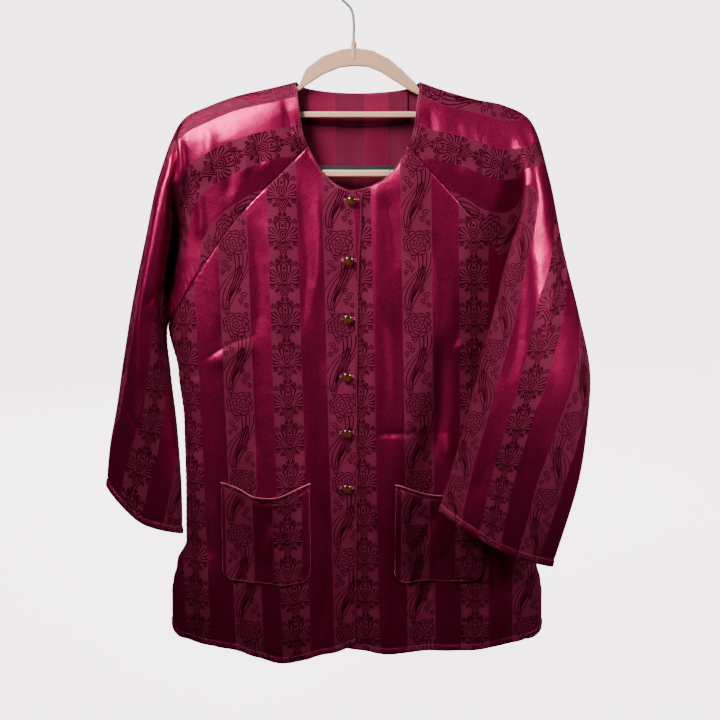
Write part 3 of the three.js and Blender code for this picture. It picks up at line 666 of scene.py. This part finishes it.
# The place in the repeat at the back's middle, and what the folds take up
BACK_PLACE, BACK_MIDDLE, BACK_TAKEN_UP = 85, -3, 1.015
BACK_SEAM = ((-118, -226), (-170, -318))
BACK_FOLDS = ((-180, 34, 6), (-112, 38, -7), (-38, 40, 8), (36, 36, -6), (104, 38, 7), (176, 34, -5))
BACK_CREASES = (
    (-60, -200, -66, -420, 10, -4.4), (-100, -240, -104, -380, 9, 3.2), (64, -200, 72, -400, 10, -4.4),
    (108, -250, 110, -420, 9, 3.1), (0, -180, 4, -330, 12, 2.6), (-150, -340, -156, -520, 10, -4),
    (152, -330, 160, -500, 10, -3.8), (-206, -470, -198, -640, 8, -3.5), (204, -470, 196, -620, 8, -3.2),
    (-20, -420, -14, -640, 12, -4.4), (60, -450, 66, -700, 11, -4), (-84, -500, -90, -740, 11, -4.4),
    (130, -560, 126, -790, 10, 3.5), (-140, -600, -146, -810, 9, 4), (-190, -460, -130, -436, 2.4, -2.2),
)


def back_y(x, z):
    depth = depth_below_shoulder(BACK_GAIN, x, z) + fold_at(BACK_FOLDS, x, z)
    round_off = roundness(x, z)
    creases = crease_at(BACK_CREASES, x, z) * round_off
    return depth * round_off + slit_part(z) * (1 - round_off) + creases


SEAM_BACK_RIGHT = Raglan(-1, False, BACK_SEAM, back_y)
SEAM_BACK_LEFT = Raglan(1, False, BACK_SEAM, back_y)


def neck_at_x(x):
    share = np.clip(np.abs(x - NECK_X) / NECK_HALF, 0, 1)
    return NECK_Z - NECK_BACK * np.sqrt(1 - share ** 2)


def neck_depth_at_x(x):
    return NECK_SET_BACK * np.sqrt(np.maximum(0, 1 - ((x - NECK_X) / NECK_HALF / 1.15) ** 2))


def back_grid(rows=220, cols=150):
    t = np.linspace(0, 1, rows)
    right = outer_edge(-1, SEAM_BACK_RIGHT, t)
    left = outer_edge(1, SEAM_BACK_LEFT, t)
    half = np.linspace(-1, 1, cols)
    s = (0.5 + 0.5 * np.sign(half) * bunched(np.abs(half)))[None, :]
    x = lerp(right[:, :1], left[:, :1], s)
    neck_x = lerp(right[0, 0], left[0, 0], s)
    below_neck = smooth(t / BACK_NECK_PART)[:, None]
    dip = (1 - below_neck) * (neck_at_x(neck_x) - lerp(right[0, 2], left[0, 2], s))
    pull = smooth((t - 0.82) / 0.18)[:, None]
    z = lerp(right[:, 2:], left[:, 2:], s) + dip + pull * (hem_level(np.abs(2 * s - 1)) + 8 - HEM_Z)
    y = lerp(neck_depth_at_x(x), back_y(x, z), below_neck)
    return np.stack([x, y, z], -1)


back = hem_turned(seam_pucker(back_grid(), 1, True, True), 1, HEM_DEEP)
made = sheet_mesh("back_cloth", back, 1, BACK_PLACE + (back[..., 0] - BACK_MIDDLE) * BACK_TAKEN_UP,
                  -back[..., 2] + 20)
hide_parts("back")

# ---------------------------------------------------------------- the raglan sleeves
# Long wide sleeves that run up to the neck. Each falls over the hanger's end in one deep fold;
# the wearer's left sleeve swings forward across the body. Their stripes follow the arm.

# Sections from neck to cuff: the seam, as a share of the raglan or the underarm seam's x, z, y;
# the valley, the fold and the ridge, as x, z, y; the front's y and the back's y; and the cloth's
# place in the repeat at the ridge, the front, the fold, the valley and the seam, in mm.
RIGHT_SLEEVE = (
    (0.00, (-57, -194, -15), (-60, -183, -14), (-67, -128, 0), -12, 6, (20, 47, 74, 84, 90)),
    (0.16, (-90, -206, -20), (-95, -178, -17), (-102, -136, 0), -12, 11, (20, 41, 62, 92, 120)),
    (0.32, (-122, -226, -22), (-132, -190, -19), (-138, -144, 0), -12, 12, (20, 43, 66, 102, 140)),
    (0.48, (-157, -250, -21), (-168, -206, -19), (-172, -156, 0), -12, 13, (20, 43, 66, 108, 150)),
    (0.62, (-190, -265, -14), (-198, -222, -17), (-203, -172, 0), -14, 16, (20, 42, 62, 98, 150)),
    (0.75, (-213, -285, -8), (-216, -250, -26), (-232, -234, 0), -25, 24, (19, 43, 52, 76, 130)),
    (0.88, (-224, -340, -6), (-229, -322, -35), (-253, -318, 0), -38, 34, (8, 41, 56, 80, 120)),
    (1.00, (-237, -412, -14), (-239, -402, -36), (-273, -402, 0), -46, 42, (2, 41, 68, 84, 104)),
    ((-230, -484, 12), (-229, -482, -6), (-231, -480, -26), (-286, -465, 0), -44, 37,
     (12, 55, 98, 110, 124)),
    ((-224, -552, 10), (-223, -551, -4), (-226, -549, -20), (-297, -525, 0), -40, 30,
     (22, 66, 120, 130, 142)),
    ((-221, -624, 6), (-219, -624, -5), (-222, -621, -16), (-308, -578, -2), -34, 22,
     (32, 86, 140, 148, 158)),
    ((-222, -690, 2), (-219, -692, -6), (-222, -690, -14), (-314, -628, -4), -30, 16,
     (34, 103, 158, 168, 178)),
)
LEFT_SLEEVE = (
    (0.00, (71, -194, -15), (74, -183, -14), (81, -128, 0), -12, 6, (20, 47, 74, 84, 90)),
    (0.16, (101, -208, -20), (106, -180, -17), (114, -139, 0), -12, 11, (20, 41, 62, 92, 120)),
    (0.32, (134, -226, -22), (142, -192, -19), (148, -148, 0), -12, 12, (20, 43, 66, 102, 140)),
    (0.48, (168, -246, -21), (176, -206, -21), (182, -155, 0), -14, 13, (20, 44, 68, 108, 150)),
    (0.62, (198, -262, -16), (199, -226, -28), (213, -172, 0), -22, 16, (36, 62, 92, 124, 165)),
    (0.75, (217, -300, -14), (202, -266, -44), (238, -239, 0), -44, 26, (100, 127, 157, 190, 215)),
    (0.88, (224, -366, -18), (181, -340, -56), (258, -326, -4), -62, 34, (74, 115, 167, 205, 230)),
    (1.00, (238, -414, -20), (164, -414, -63), (280, -408, -8), -78, 24, (32, 90, 170, 215, 250)),
    ((226, -482, -26), (196, -478, -47), (150, -474, -68), (294, -476, -18), -86, -6,
     (6, 74, 165, 215, 250)),
    ((206, -541, -46), (170, -538, -58), (135, -534, -72), (291, -544, -30), -90, -34,
     (-12, 63, 164, 215, 250)),
    ((182, -598, -56), (150, -592, -62), (120, -588, -74), (281, -612, -42), -90, -50,
     (-26, 59, 165, 215, 250)),
    ((160, -666, -60), (131, -651, -65), (106, -638, -76), (251, -720, -50), -90, -56,
     (-34, 68, 170, 215, 250)),
)
# The front of each cuff hangs this far below its fold and ridge
RIGHT_CUFF_DROP, LEFT_CUFF_DROP, CUFF_DEEP = 11, 5, 8.5
# Creases of the sleeves, on the front and then on the back: as for the fronts
RIGHT_CREASES = (
    (-80, -150, -72, -190, 5, -1.9), (-112, -190, -106, -222, 6, -2.4), (-128, -196, -126, -236, 5, 1.9),
    (-146, -200, -148, -262, 7, -2.2), (-168, -180, -176, -240, 8, 2.2), (-186, -250, -182, -310, 6, 2.4),
    (-205, -240, -212, -330, 5, -2.2), (-222, -300, -236, -420, 5, -1.9), (-246, -380, -262, -520, 7, -2),
    (-258, -440, -280, -600, 8, 2.2), (-240, -470, -252, -640, 7, -1.7),
    (-282, -520, -262, -548, 4, -1.2), (-212, -188, -214, -268, 3.6, -6.5),
    (-214, -252, -230, -392, 3.6, -6.5), (-205, -190, -206, -266, 5, 3.2),
    (-228, -370, -250, -392, 4, -1.3), (-200, -310, -214, -296, 3.5, -1.7),
)
RIGHT_CREASES_BACK = (
    (-120, -160, -130, -230, 8, -1.8), (-160, -180, -176, -280, 8, 1.7),
    (-210, -260, -226, -400, 7, -1.9), (-240, -360, -262, -520, 8, -1.9),
    (-250, -480, -276, -620, 8, 1.8), (-264, -420, -238, -446, 4, -1.1),
)
LEFT_CREASES = (
    (92, -160, 98, -210, 5, -1.3), (122, -170, 130, -232, 7, -1.5), (150, -180, 158, -248, 6, 1.2),
    (186, -190, 196, -240, 6, -1.3), (214, -240, 222, -330, 6, -1.6), (236, -300, 238, -400, 6, 1.6),
    (252, -330, 268, -400, 4, -1.3), (242, -352, 262, -366, 3, -1), (238, -380, 268, -372, 3, 1),
    (244, -398, 272, -408, 3, -0.9), (198, -330, 190, -470, 9, -1.8), (210, -420, 184, -560, 9, 1.6),
    (240, -430, 232, -560, 8, -1.6), (262, -470, 268, -600, 7, 1.5), (170, -520, 150, -620, 8, -1.5),
    (222, -560, 214, -680, 8, -1.6), (250, -600, 240, -690, 6, 1.3), (186, -600, 168, -652, 6, 1.2),
)
LEFT_CREASES_BACK = (
    (126, -170, 136, -240, 8, -1.5), (168, -190, 184, -290, 8, 1.4), (222, -270, 240, -420, 8, -1.8),
    (250, -400, 262, -540, 8, 1.6), (232, -480, 236, -620, 9, -1.6), (270, -450, 244, -470, 4, -0.9),
    (214, -560, 222, -680, 8, 1.4),
)


def sleeve_columns(steps):
    """Places along a section; they crowd near the ridge."""
    shares = []
    for k, count in enumerate(steps):
        s = np.arange(count) / count
        if k == 3:
            s = 1 - (1 - s) ** 1.6
        if k == 4:
            s = s ** 1.6
        shares.append((k + s) / 6)
    return np.concatenate([*shares, [1.0]])


def from_table(point):
    """A point from its x, z and y."""
    x, z, y = point
    return np.array((x, y, z), float)


def round_the_arm(section, drop, front_seam, back_seam):
    """The seam, valley, fold, front, ridge, back and seam again of one section."""
    seam, valley, fold, ridge, front, back, _ = section
    if isinstance(seam, tuple):
        start = end = from_table(seam)
        share = 0.5
    else:
        start, end = front_seam.at(seam)[0], back_seam.at(seam)[0]
        share = lerp(0.2, 0.5, float(smooth((seam - 0.62) / 0.38)))
    valley, fold, ridge = from_table(valley), from_table(fold), from_table(ridge)
    middle = lerp(fold, ridge, 0.5)
    middle = np.array((middle[0], front, middle[2] - drop))
    behind = lerp(ridge, end, share)
    behind[1] = back
    return [start, valley, fold, middle, ridge, behind, end]


def sleeve_grid(sections, cuff_drop, front_seam, back_seam, rows=265, steps=(20, 20, 26, 26, 24, 24)):
    drops = [0] * (len(sections) - 1) + [cuff_drop]
    named = np.array([round_the_arm(section, drop, front_seam, back_seam)
                      for section, drop in zip(sections, drops)])
    t = np.linspace(0, 1, rows)
    rails = np.stack([spline(named[:, k], t) for k in range(7)], 1)
    yoke_shares = [section[0] for section in sections if not isinstance(section[0], tuple)]
    place = t * (len(sections) - 1)
    on_yoke = place <= len(yoke_shares) - 1
    share = np.interp(place[on_yoke], range(len(yoke_shares)), yoke_shares)
    rails[on_yoke, 0] = front_seam.at(share)
    rails[on_yoke, 6] = back_seam.at(share)
    columns = sleeve_columns(steps)
    grid = np.stack([spline(rail, columns) for rail in rails])
    # the cloth's place in the repeat across each row, and down the arm along the ridge
    marks = np.array([section[-1][::-1] for section in sections], float)
    down = np.arange(len(sections)) * 40.0
    marks = np.stack([spline(np.stack([marks[:, k], down, down], -1), t)[:, 0] for k in range(5)], 1)
    stops = np.cumsum([0, *steps])
    u = np.zeros(grid.shape[:2])
    for j, row in enumerate(grid):
        walked = arc_lengths(row)
        ridge = walked[stops[4]]
        places = [*walked[stops[:5]], walked[-1]]
        values = [*marks[j], marks[j, 4] - (walked[-1] - ridge)]
        u[j] = np.interp(walked, places, values)
    v = np.repeat(arc_lengths(grid[:, stops[4]])[:, None], grid.shape[1], 1)
    return grid, u, v


def creased(grid, out, front, back):
    """Pushes the cloth along its normal, by the front's creases where it faces front."""
    n = normals_of(grid, out)
    facing = smooth((-n[..., 1] + 0.15) / 0.5)
    shift = crease_at(front, grid[..., 0], grid[..., 2]) * facing
    shift += crease_at(back, grid[..., 0], grid[..., 2]) * (1 - facing)
    return grid + n * shift[..., None]


sleeves = {}
for name, sections, drop, front_seam, back_seam, out, front, behind, flat, area in (
        ("right_sleeve", RIGHT_SLEEVE, RIGHT_CUFF_DROP, SEAM_FRONT_RIGHT, SEAM_BACK_RIGHT, 1,
         RIGHT_CREASES, RIGHT_CREASES_BACK, (0.33, 0.66), 0.145),
        ("left_sleeve", LEFT_SLEEVE, LEFT_CUFF_DROP, SEAM_FRONT_LEFT, SEAM_BACK_LEFT, -1,
         LEFT_CREASES, LEFT_CREASES_BACK, (0.35, 0.70), 0.175)):
    grid, u, v = sleeve_grid(sections, drop, front_seam, back_seam)
    grid = seam_pucker(creased(grid, out, front, behind), out, True, True)
    grid = hem_turned(grid, out, CUFF_DEEP)
    sleeves[name] = grid
    made = sheet_mesh(name + "_cloth", grid, out, u, v)
    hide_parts(name)

# ---------------------------------------------------------------- the patch pockets
# Two rounded patch pockets low on the fronts, whose mouths sag open. The top is turned under and
# stitched; the stripes nearly match the front's.
POCKET_WIDE, POCKET_TALL, POCKET_CORNER, POCKET_POINTS = 113, 132, 17, 86
MOUTH_SAG, MOUTH_GAPE, MOUTH_DEEP = 14, 11, 6.5
POCKET_X, POCKET_Z, POCKET_LIFT = 53, -617, 2.0
POCKET_CREASES = ((88, -666, 114, -714, 8, 2.8), (104, -652, 84, -706, 6, -2.0),
                  (142, -640, 134, -722, 6, 1.8), (62, -650, 74, -730, 6, 1.4))


def pocket_grid(side):
    s = np.linspace(0, 1, POCKET_POINTS)[None, :]
    t = np.linspace(0, 1, POCKET_POINTS)[:, None]
    from_end = (1 - np.abs(2 * s - 1)) * POCKET_WIDE / 2
    inside = np.clip(POCKET_CORNER - from_end, 0, POCKET_CORNER)
    bottom = POCKET_CORNER - np.sqrt(POCKET_CORNER ** 2 - inside ** 2) - POCKET_TALL
    top = -MOUTH_SAG * np.sin(np.pi * s).clip(0) ** 1.4
    x = (POCKET_X + s * POCKET_WIDE) * side + t * 0
    z = POCKET_Z + lerp(top, bottom, t)
    gape = MOUTH_GAPE * (1 - t) ** 2.2 * np.sin(np.pi * s).clip(0) ** 0.9
    rumple = crease_at(POCKET_CREASES, x * side, z)
    return np.stack([x, front_y(x, z) - POCKET_LIFT - gape - rumple, z], -1)


pockets = {}
for name, side, out, table in (("right_pocket", -1, 1, STRIPES_RIGHT),
                               ("left_pocket", 1, -1, STRIPES_LEFT)):
    grid = hem_turned(pocket_grid(side), out, MOUTH_DEEP, "top", 0.5)
    pockets[name] = grid
    made = sheet_mesh(name + "_cloth", grid, out, stripes(table, grid[..., 0] + 3), -grid[..., 2] + 31)
    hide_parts(name)

# ---------------------------------------------------------------- the back-neck facing
# A strip of the same cloth inside the back neck, sewn in with its reverse outwards. Its lower edge
# is turned and a little puckered.
FACING_HALF, FACING_DEEP, FACING_LIFT = 60, 37, 2.0


def facing_grid(rows=40, cols=90):
    x = np.linspace(-FACING_HALF, FACING_HALF, cols)[None, :] + NECK_X + np.zeros((rows, 1))
    t = np.linspace(0, 1, rows)[:, None]
    z = neck_at_x(x) - 1 - FACING_DEEP * t
    below_neck = smooth(np.clip((NECK_Z - NECK_BACK - z) / 60, 0, 1))
    y = lerp(neck_depth_at_x(x), back_y(x, z), below_neck)
    pucker = 0.9 * t ** 3 * (np.sin(x / 2.1) + 0.6 * np.sin(x / 3.7 + 1))
    return np.stack([x, y - FACING_LIFT - np.abs(pucker), z + 0.8 * t ** 2 * np.sin(x / 4.4)], -1)


facing = facing_grid()
made = sheet_mesh("back_neck_facing_cloth", facing, -1, BACK_PLACE + (facing[..., 0] - BACK_MIDDLE),
                  -facing[..., 2] + 3, BROCADE_REVERSE)
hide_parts("back_neck_facing")

# ---------------------------------------------------------------- edges and stitching
# Turned edges catch the light at the neck, the front edge and the pocket mouths. Short machine
# stitches run beside the neck edges, round the hems and cuffs, and round each pocket.
THREAD_DARK, THREAD_LIGHT = (0.42, 0.045, 0.10), (0.72, 0.13, 0.22)
STITCH_STEP, STITCH_LONG, STITCH_HALF, STITCH_LIFT = 3.0, 2.1, 0.30, 0.42
NECK_STITCH, POCKET_STITCH = 2.4, 2.0
NECK_ROWS = int(NECK_PART * (FRONT_ROWS - 1)) + 1


def thread_material():
    material, tree, shader = new_material("wine_thread", Roughness=0.45)
    feed(tree, shader, Base_Color=mixed(tree, noise(tree, 1400.0, 1.0), THREAD_DARK, THREAD_LIGHT))
    return material


THREAD = thread_material()


def inset(grid, edge, distance):
    """A line on the cloth at a distance in mm from its top, bottom, first or last edge."""
    turned = {"top": grid, "bottom": grid[::-1], "first": grid.swapaxes(0, 1),
              "last": grid[:, ::-1].swapaxes(0, 1)}[edge]
    found = []
    for i in range(turned.shape[1]):
        walked = arc_lengths(turned[:, i])
        found.append([np.interp(distance, walked, turned[:, i, k]) for k in range(3)])
    return np.array(found)


def evenly(points, normals, step):
    walked = arc_lengths(points)
    places = np.arange(step / 2, walked[-1], step)
    spots = np.stack([np.interp(places, walked, points[:, k]) for k in range(3)], -1)
    facing = np.stack([np.interp(places, walked, normals[:, k]) for k in range(3)], -1)
    along = np.gradient(spots, axis=0)
    along /= np.linalg.norm(along, axis=1, keepdims=True)
    facing /= np.linalg.norm(facing, axis=1, keepdims=True)
    return spots, along, facing


def rings_mesh(name, tubes, material):
    """Tubes with closed ends, each from an array of rings of points."""
    points, faces = [], []
    for tube in tubes:
        base = len(points)
        count, sides = tube.shape[:2]
        points.extend(tube.reshape(-1, 3) * 0.001)
        for r in range(count - 1):
            for k in range(sides):
                after = (k + 1) % sides
                a, b = base + r * sides + k, base + r * sides + after
                faces.append((a, b, b + sides, a + sides))
        faces.append(tuple(base + k for k in reversed(range(sides))))
        faces.append(tuple(base + (count - 1) * sides + k for k in range(sides)))
    mesh = bpy.data.meshes.new(name)
    mesh.from_pydata(points, [], faces)
    mesh.polygons.foreach_set("use_smooth", [True] * len(mesh.polygons))
    return new_piece(name, mesh, material)


def stitch_rings(spots, along, facing, length=STITCH_LONG, half=STITCH_HALF):
    """One small spindle a stitch, lying on the cloth's face."""
    angles = np.arange(6) * math.pi / 3
    tubes = []
    for spot, ahead, out in zip(spots, along, facing):
        side = np.cross(ahead, out)
        rings = []
        for share, size in ((-0.5, 0.25), (-0.25, 1.0), (0.25, 1.0), (0.5, 0.25)):
            centre = spot + out * (STITCH_LIFT - 0.25 * (abs(share) > 0.4)) + ahead * share * length
            rings.append([centre + half * size * (math.cos(a) * side + 0.8 * math.sin(a) * out)
                          for a in angles])
        tubes.append(np.array(rings))
    return tubes


def roll_rings(points, radius, sides=8):
    """A thin roll of cloth along an edge."""
    ahead = np.gradient(points, axis=0)
    ahead /= np.linalg.norm(ahead, axis=1, keepdims=True)
    side = np.cross(ahead, np.array((0.0, -1.0, 0.15)))
    side /= np.linalg.norm(side, axis=1, keepdims=True)
    out = np.cross(side, ahead)
    angles = -np.arange(sides) * 2 * math.pi / sides
    return np.stack([points + radius * (math.cos(a) * side + math.sin(a) * out) for a in angles], 1)


panels = {"right_front": (right_front, 1), "left_front": (left_front, -1), "back": (back, 1),
          "right_sleeve": (sleeves["right_sleeve"], 1), "left_sleeve": (sleeves["left_sleeve"], -1),
          "right_pocket": (pockets["right_pocket"], 1), "left_pocket": (pockets["left_pocket"], -1)}
SLEEVE_SEAMS = (("bottom", CUFF_DEEP), ("top", NECK_STITCH))
POCKET_SEAMS = (("top", MOUTH_DEEP), ("first", POCKET_STITCH), ("last", POCKET_STITCH),
                ("bottom", POCKET_STITCH))
sewn = {"right_front": (("bottom", HEM_DEEP),), "left_front": (("bottom", HEM_DEEP),),
        "back": (("bottom", HEM_DEEP), ("top", NECK_STITCH)),
        "right_sleeve": SLEEVE_SEAMS, "left_sleeve": SLEEVE_SEAMS,
        "right_pocket": POCKET_SEAMS, "left_pocket": POCKET_SEAMS}
for name, seams in sewn.items():
    grid, out = panels[name]
    face = normals_of(grid, out)
    tubes = []
    for edge, distance in seams:
        tubes += stitch_rings(*evenly(inset(grid, edge, distance), inset(face, edge, 0.0), STITCH_STEP))
    if name.endswith("front"):
        beside_neck = inset(grid[:NECK_ROWS], "first", NECK_STITCH)
        tubes += stitch_rings(*evenly(beside_neck, face[:NECK_ROWS, 0], STITCH_STEP))
    rings_mesh(name + "_stitches", tubes, THREAD)
for name, points, radius, material in (
        ("right_neck_edge", right_front[:NECK_ROWS, 0], 0.85, BROCADE_EDGE),
        ("left_neck_edge", left_front[:NECK_ROWS, 0], 0.85, BROCADE_EDGE),
        ("back_neck_edge", back[0], 0.8, BROCADE_EDGE),
        ("right_sleeve_neck_edge", sleeves["right_sleeve"][0], 0.8, BROCADE_EDGE),
        ("left_sleeve_neck_edge", sleeves["left_sleeve"][0], 0.8, BROCADE_EDGE),
        ("front_edge_fold", right_front[NECK_ROWS - 1:, 0], 0.75, BROCADE_EDGE),
        ("right_pocket_edge", pockets["right_pocket"][0], 0.6, THREAD),
        ("left_pocket_edge", pockets["left_pocket"][0], 0.6, THREAD)):
    rings_mesh(name, [roll_rings(points, radius)], material)

# ---------------------------------------------------------------- the buttons
# Six domed amber glass buttons, dark brown, with a painted golden glow of light through the glass on
# their lower side, sewn to the left front. Each comes through a buttonhole in the right front,
# worked round with close stitches.
BUTTONS, BUTTON_RADIUS, BUTTON_DOME, BUTTON_LIFT = 6, 6, 3.5, 1.3
FIRST_BUTTON_Z, LAST_BUTTON_Z, BUTTON_FROM_EDGE = -266, -622, 12
HOLE_HALF, HOLE_GAP, HOLE_STEP = 9, 1.1, 0.75
# The second colour is a painted glow: light shining through the amber glass, painted golden on each
# button's lower side.
GLASS_DARK, GLASS_PAINTED_GLOW = (0.055, 0.010, 0.004), (0.26, 0.080, 0.013)


def facing_up(tree):
    """How far the surface faces up, from -1 to 1."""
    parts = tree.nodes.new("ShaderNodeSeparateXYZ")
    tree.links.new(tree.nodes.new("ShaderNodeNewGeometry").outputs["Normal"], parts.inputs[0])
    return Value(tree, parts.outputs[2])


def glass_material():
    material, tree, shader = new_material("amber_glass", Roughness=0.06, IOR=1.52, Coat_Weight=0.8,
                                          Coat_Roughness=0.03)
    # Painted light: the downward-facing side is painted with the golden glow of light through the glass.
    painted_glow = facing_up(tree).math("MULTIPLY_ADD", -0.85, 0.22, clamp=True)
    feed(tree, shader, Base_Color=mixed(tree, painted_glow, GLASS_DARK, GLASS_PAINTED_GLOW))
    return material


GLASS = glass_material()
holes = []
for k in range(BUTTONS):
    z = lerp(FIRST_BUTTON_Z, LAST_BUTTON_Z, k / (BUTTONS - 1))
    x = float(at_level(OPENING, z)) - BUTTON_FROM_EDGE
    y = float(front_y(np.array(x), np.array(z))) - BUTTON_LIFT - BUTTON_DOME
    bpy.ops.object.select_all(action="DESELECT")
    bpy.ops.mesh.primitive_uv_sphere_add(segments=36, ring_count=18, radius=BUTTON_RADIUS / 1000,
                                         location=(x / 1000, y / 1000, z / 1000),
                                         rotation=(math.pi / 2, 0, 0))
    button = bpy.context.object
    button.scale = (1, 1, BUTTON_DOME / BUTTON_RADIUS)
    bpy.ops.object.transform_apply(location=True, rotation=True, scale=True)
    bpy.ops.object.shade_smooth()
    button.name = f"button_{k + 1}_glass"
    button.data.materials.append(GLASS)
    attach(button, "root")
    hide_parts(f"button_{k + 1}")
    xs = np.arange(x - HOLE_HALF, x + HOLE_HALF + 0.1, HOLE_STEP)
    up, outwards = (np.tile(way, (len(xs), 1)) for way in ((0.0, 0.0, 1.0), (0.0, -1.0, 0.0)))
    for lip in (z + HOLE_GAP, z - HOLE_GAP):
        zs = np.full(len(xs), lip)
        spots = np.stack([xs, front_y(xs, zs), zs], -1)
        holes += stitch_rings(spots, up, outwards, length=2.0, half=0.28)
rings_mesh("buttonhole_stitches", holes, THREAD)

# ---------------------------------------------------------------- the hanger, its grip and its hook
# A slim moulded hanger in peach flock with a painted highlight on its upward faces, a black ribbed
# rubber strip on its lower bar with painted light on its ribs, and a bright plated wire hook.
# The third flock colour is a painted highlight, laid on the faces that look up as if lit from above.
FLOCK_DARK, FLOCK_LIGHT, FLOCK_PAINTED_HIGHLIGHT = (0.96, 0.44, 0.25), (1.0, 0.61, 0.39), (1.0, 0.78, 0.60)
# The rubber's lighter colour is a painted highlight on its rib tops; the grooves keep the plain black as
# painted shade.
RUBBER_DARK, RUBBER_PAINTED_HIGHLIGHT = (0.006, 0.006, 0.008), (0.05, 0.05, 0.055)
PLATING = (0.72, 0.72, 0.74)
RIB_STEP, SHARP_EDGE = 0.0016, 48

flock, tree, shader = new_material("peach_flock", Roughness=0.85, Sheen_Weight=0.1)
fibres = noise(tree, 1600.0, 2.0)
# Painted highlight: faces that look up are painted paler, as if lit from above.
painted_top_highlight = facing_up(tree).math("MULTIPLY_ADD", 1.8, -0.2, clamp=True)
nap = mixed(tree, fibres, FLOCK_DARK, FLOCK_LIGHT)
feed(tree, shader, Base_Color=mixed(tree, painted_top_highlight, nap, FLOCK_PAINTED_HIGHLIGHT),
     Normal=bumped(tree, fibres * 0.0002, Strength=0.5))

rubber, tree, shader = new_material("black_grip", Roughness=0.62)
across = tree.nodes.new("ShaderNodeSeparateXYZ")
tree.links.new(object_place(tree), across.inputs[0])
ribs = (Value(tree, across.outputs[0]) * (2 * math.pi / RIB_STEP)).sin()
# Painted light: the rib tops are painted lighter and the grooves darker, as light would fall on the ribs.
rib_painted_highlight = ribs.math("MULTIPLY_ADD", 0.5, 0.5)
feed(tree, shader, Base_Color=mixed(tree, rib_painted_highlight, RUBBER_DARK, RUBBER_PAINTED_HIGHLIGHT),
     Normal=bumped(tree, ribs * 0.0003, Strength=1.0))

steel, tree, shader = new_material("plated_wire", Base_Color=(*PLATING, 1.0), Metallic=0.55)
feed(tree, shader, Roughness=noise(tree, 260.0, 2.0) * 0.16 + 0.13)
for name, material, slot in (("hanger", flock, "hanger_flock"), ("grip_strip", rubber, "grip_rubber"),
                             ("hook", steel, "hook_steel")):
    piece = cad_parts[name]
    piece.data.materials.clear()
    piece.data.materials.append(material)
    bpy.ops.object.select_all(action="DESELECT")
    piece.select_set(True)
    bpy.context.view_layer.objects.active = piece
    bpy.ops.object.shade_smooth_by_angle(angle=math.radians(SHARP_EDGE))

# ---------------------------------------------------------------- stage
# A plain pale floor and backdrop with soft light from the upper left. Only the camera sees them
# pale; the satin mirrors a dim room, which keeps its folds deep.
PALE, PALE_STRENGTH = (1.0, 0.88, 0.93, 1), 4.4
PAPER_PALE, PAPER_DARK = (0.80, 0.77, 0.785, 1), (0.10, 0.085, 0.09, 1)
ROOM_DARK, ROOM_STRENGTH = (1.0, 0.95, 0.97, 1), 0.035
FLOOR_Z, WALL_Y, SHEET_SIZE = -1.05, 3.0, 12
CAMERA_PLACE, CAMERA_TILT, CAMERA_LENS = (0.00947, -1.425, -0.16338), 78, 58.15


def seen_by_camera(tree, pale, dark, output):
    """Joins two shaders, pale for the camera's own rays and dark for all others."""
    switch = tree.nodes.new("ShaderNodeMixShader")
    path = tree.nodes.new("ShaderNodeLightPath")
    tree.links.new(path.outputs["Is Camera Ray"], switch.inputs[0])
    tree.links.new(dark.outputs[0], switch.inputs[1])
    tree.links.new(pale.outputs[0], switch.inputs[2])
    tree.links.new(switch.outputs[0], tree.nodes[output].inputs[0])


paper, tree, pale = new_material("stage_paper", Base_Color=PAPER_PALE, Roughness=0.9,
                                 Emission_Color=PALE, Emission_Strength=PALE_STRENGTH)
dark = node(tree, "ShaderNodeBsdfDiffuse", Color=PAPER_DARK)
seen_by_camera(tree, pale, dark, "Material Output")
for name, place, turn in (("stage_floor", (0, 0, FLOOR_Z), 0),
                          ("stage_wall", (0, WALL_Y, 0), math.pi / 2)):
    bpy.ops.mesh.primitive_plane_add(size=SHEET_SIZE, location=place, rotation=(turn, 0, 0))
    sheet = bpy.context.object
    sheet.name = name
    sheet.data.materials.append(paper)
for name, place, aim, size, power, spread in (
        ("key", (-0.76, -0.78, 0.66), (-0.18, 0, -0.14), 0.70, 3.7, 40),
        ("rim", (1.15, -0.55, 0.10), (0.28, 0, -0.42), 0.40, 1.1, 36),
        ("fill", (-1.20, -1.70, -0.08), (0, 0, -0.42), 0.30, 1.3, 180),
        ("behind", (-0.6, 2.2, 0.10), (0, 0, -0.4), 0.7, 30, 180)):
    light = bpy.data.lights.new(name, "AREA")
    light.size = size
    light.energy = power
    light.spread = math.radians(spread)
    lamp = bpy.data.objects.new(name, light)
    bpy.context.collection.objects.link(lamp)
    lamp.location = place
    lamp.visible_camera = False
    lamp.rotation_euler = (Vector(aim) - Vector(place)).to_track_quat("-Z", "Y").to_euler()
world = bpy.context.scene.world or bpy.data.worlds.new("world")
bpy.context.scene.world = world
world.use_nodes = True
tree = world.node_tree
pale = tree.nodes["Background"]
pale.inputs[0].default_value = PALE
pale.inputs[1].default_value = PALE_STRENGTH
dark = node(tree, "ShaderNodeBackground", Color=ROOM_DARK, Strength=ROOM_STRENGTH)
seen_by_camera(tree, pale, dark, "World Output")
camera = bpy.data.cameras.new("camera")
camera.sensor_width = 36
camera.lens = CAMERA_LENS
viewer = bpy.data.objects.new("camera", camera)
bpy.context.collection.objects.link(viewer)
viewer.location = CAMERA_PLACE
viewer.rotation_euler = (math.radians(CAMERA_TILT), 0, 0)
bpy.context.scene.camera = viewer
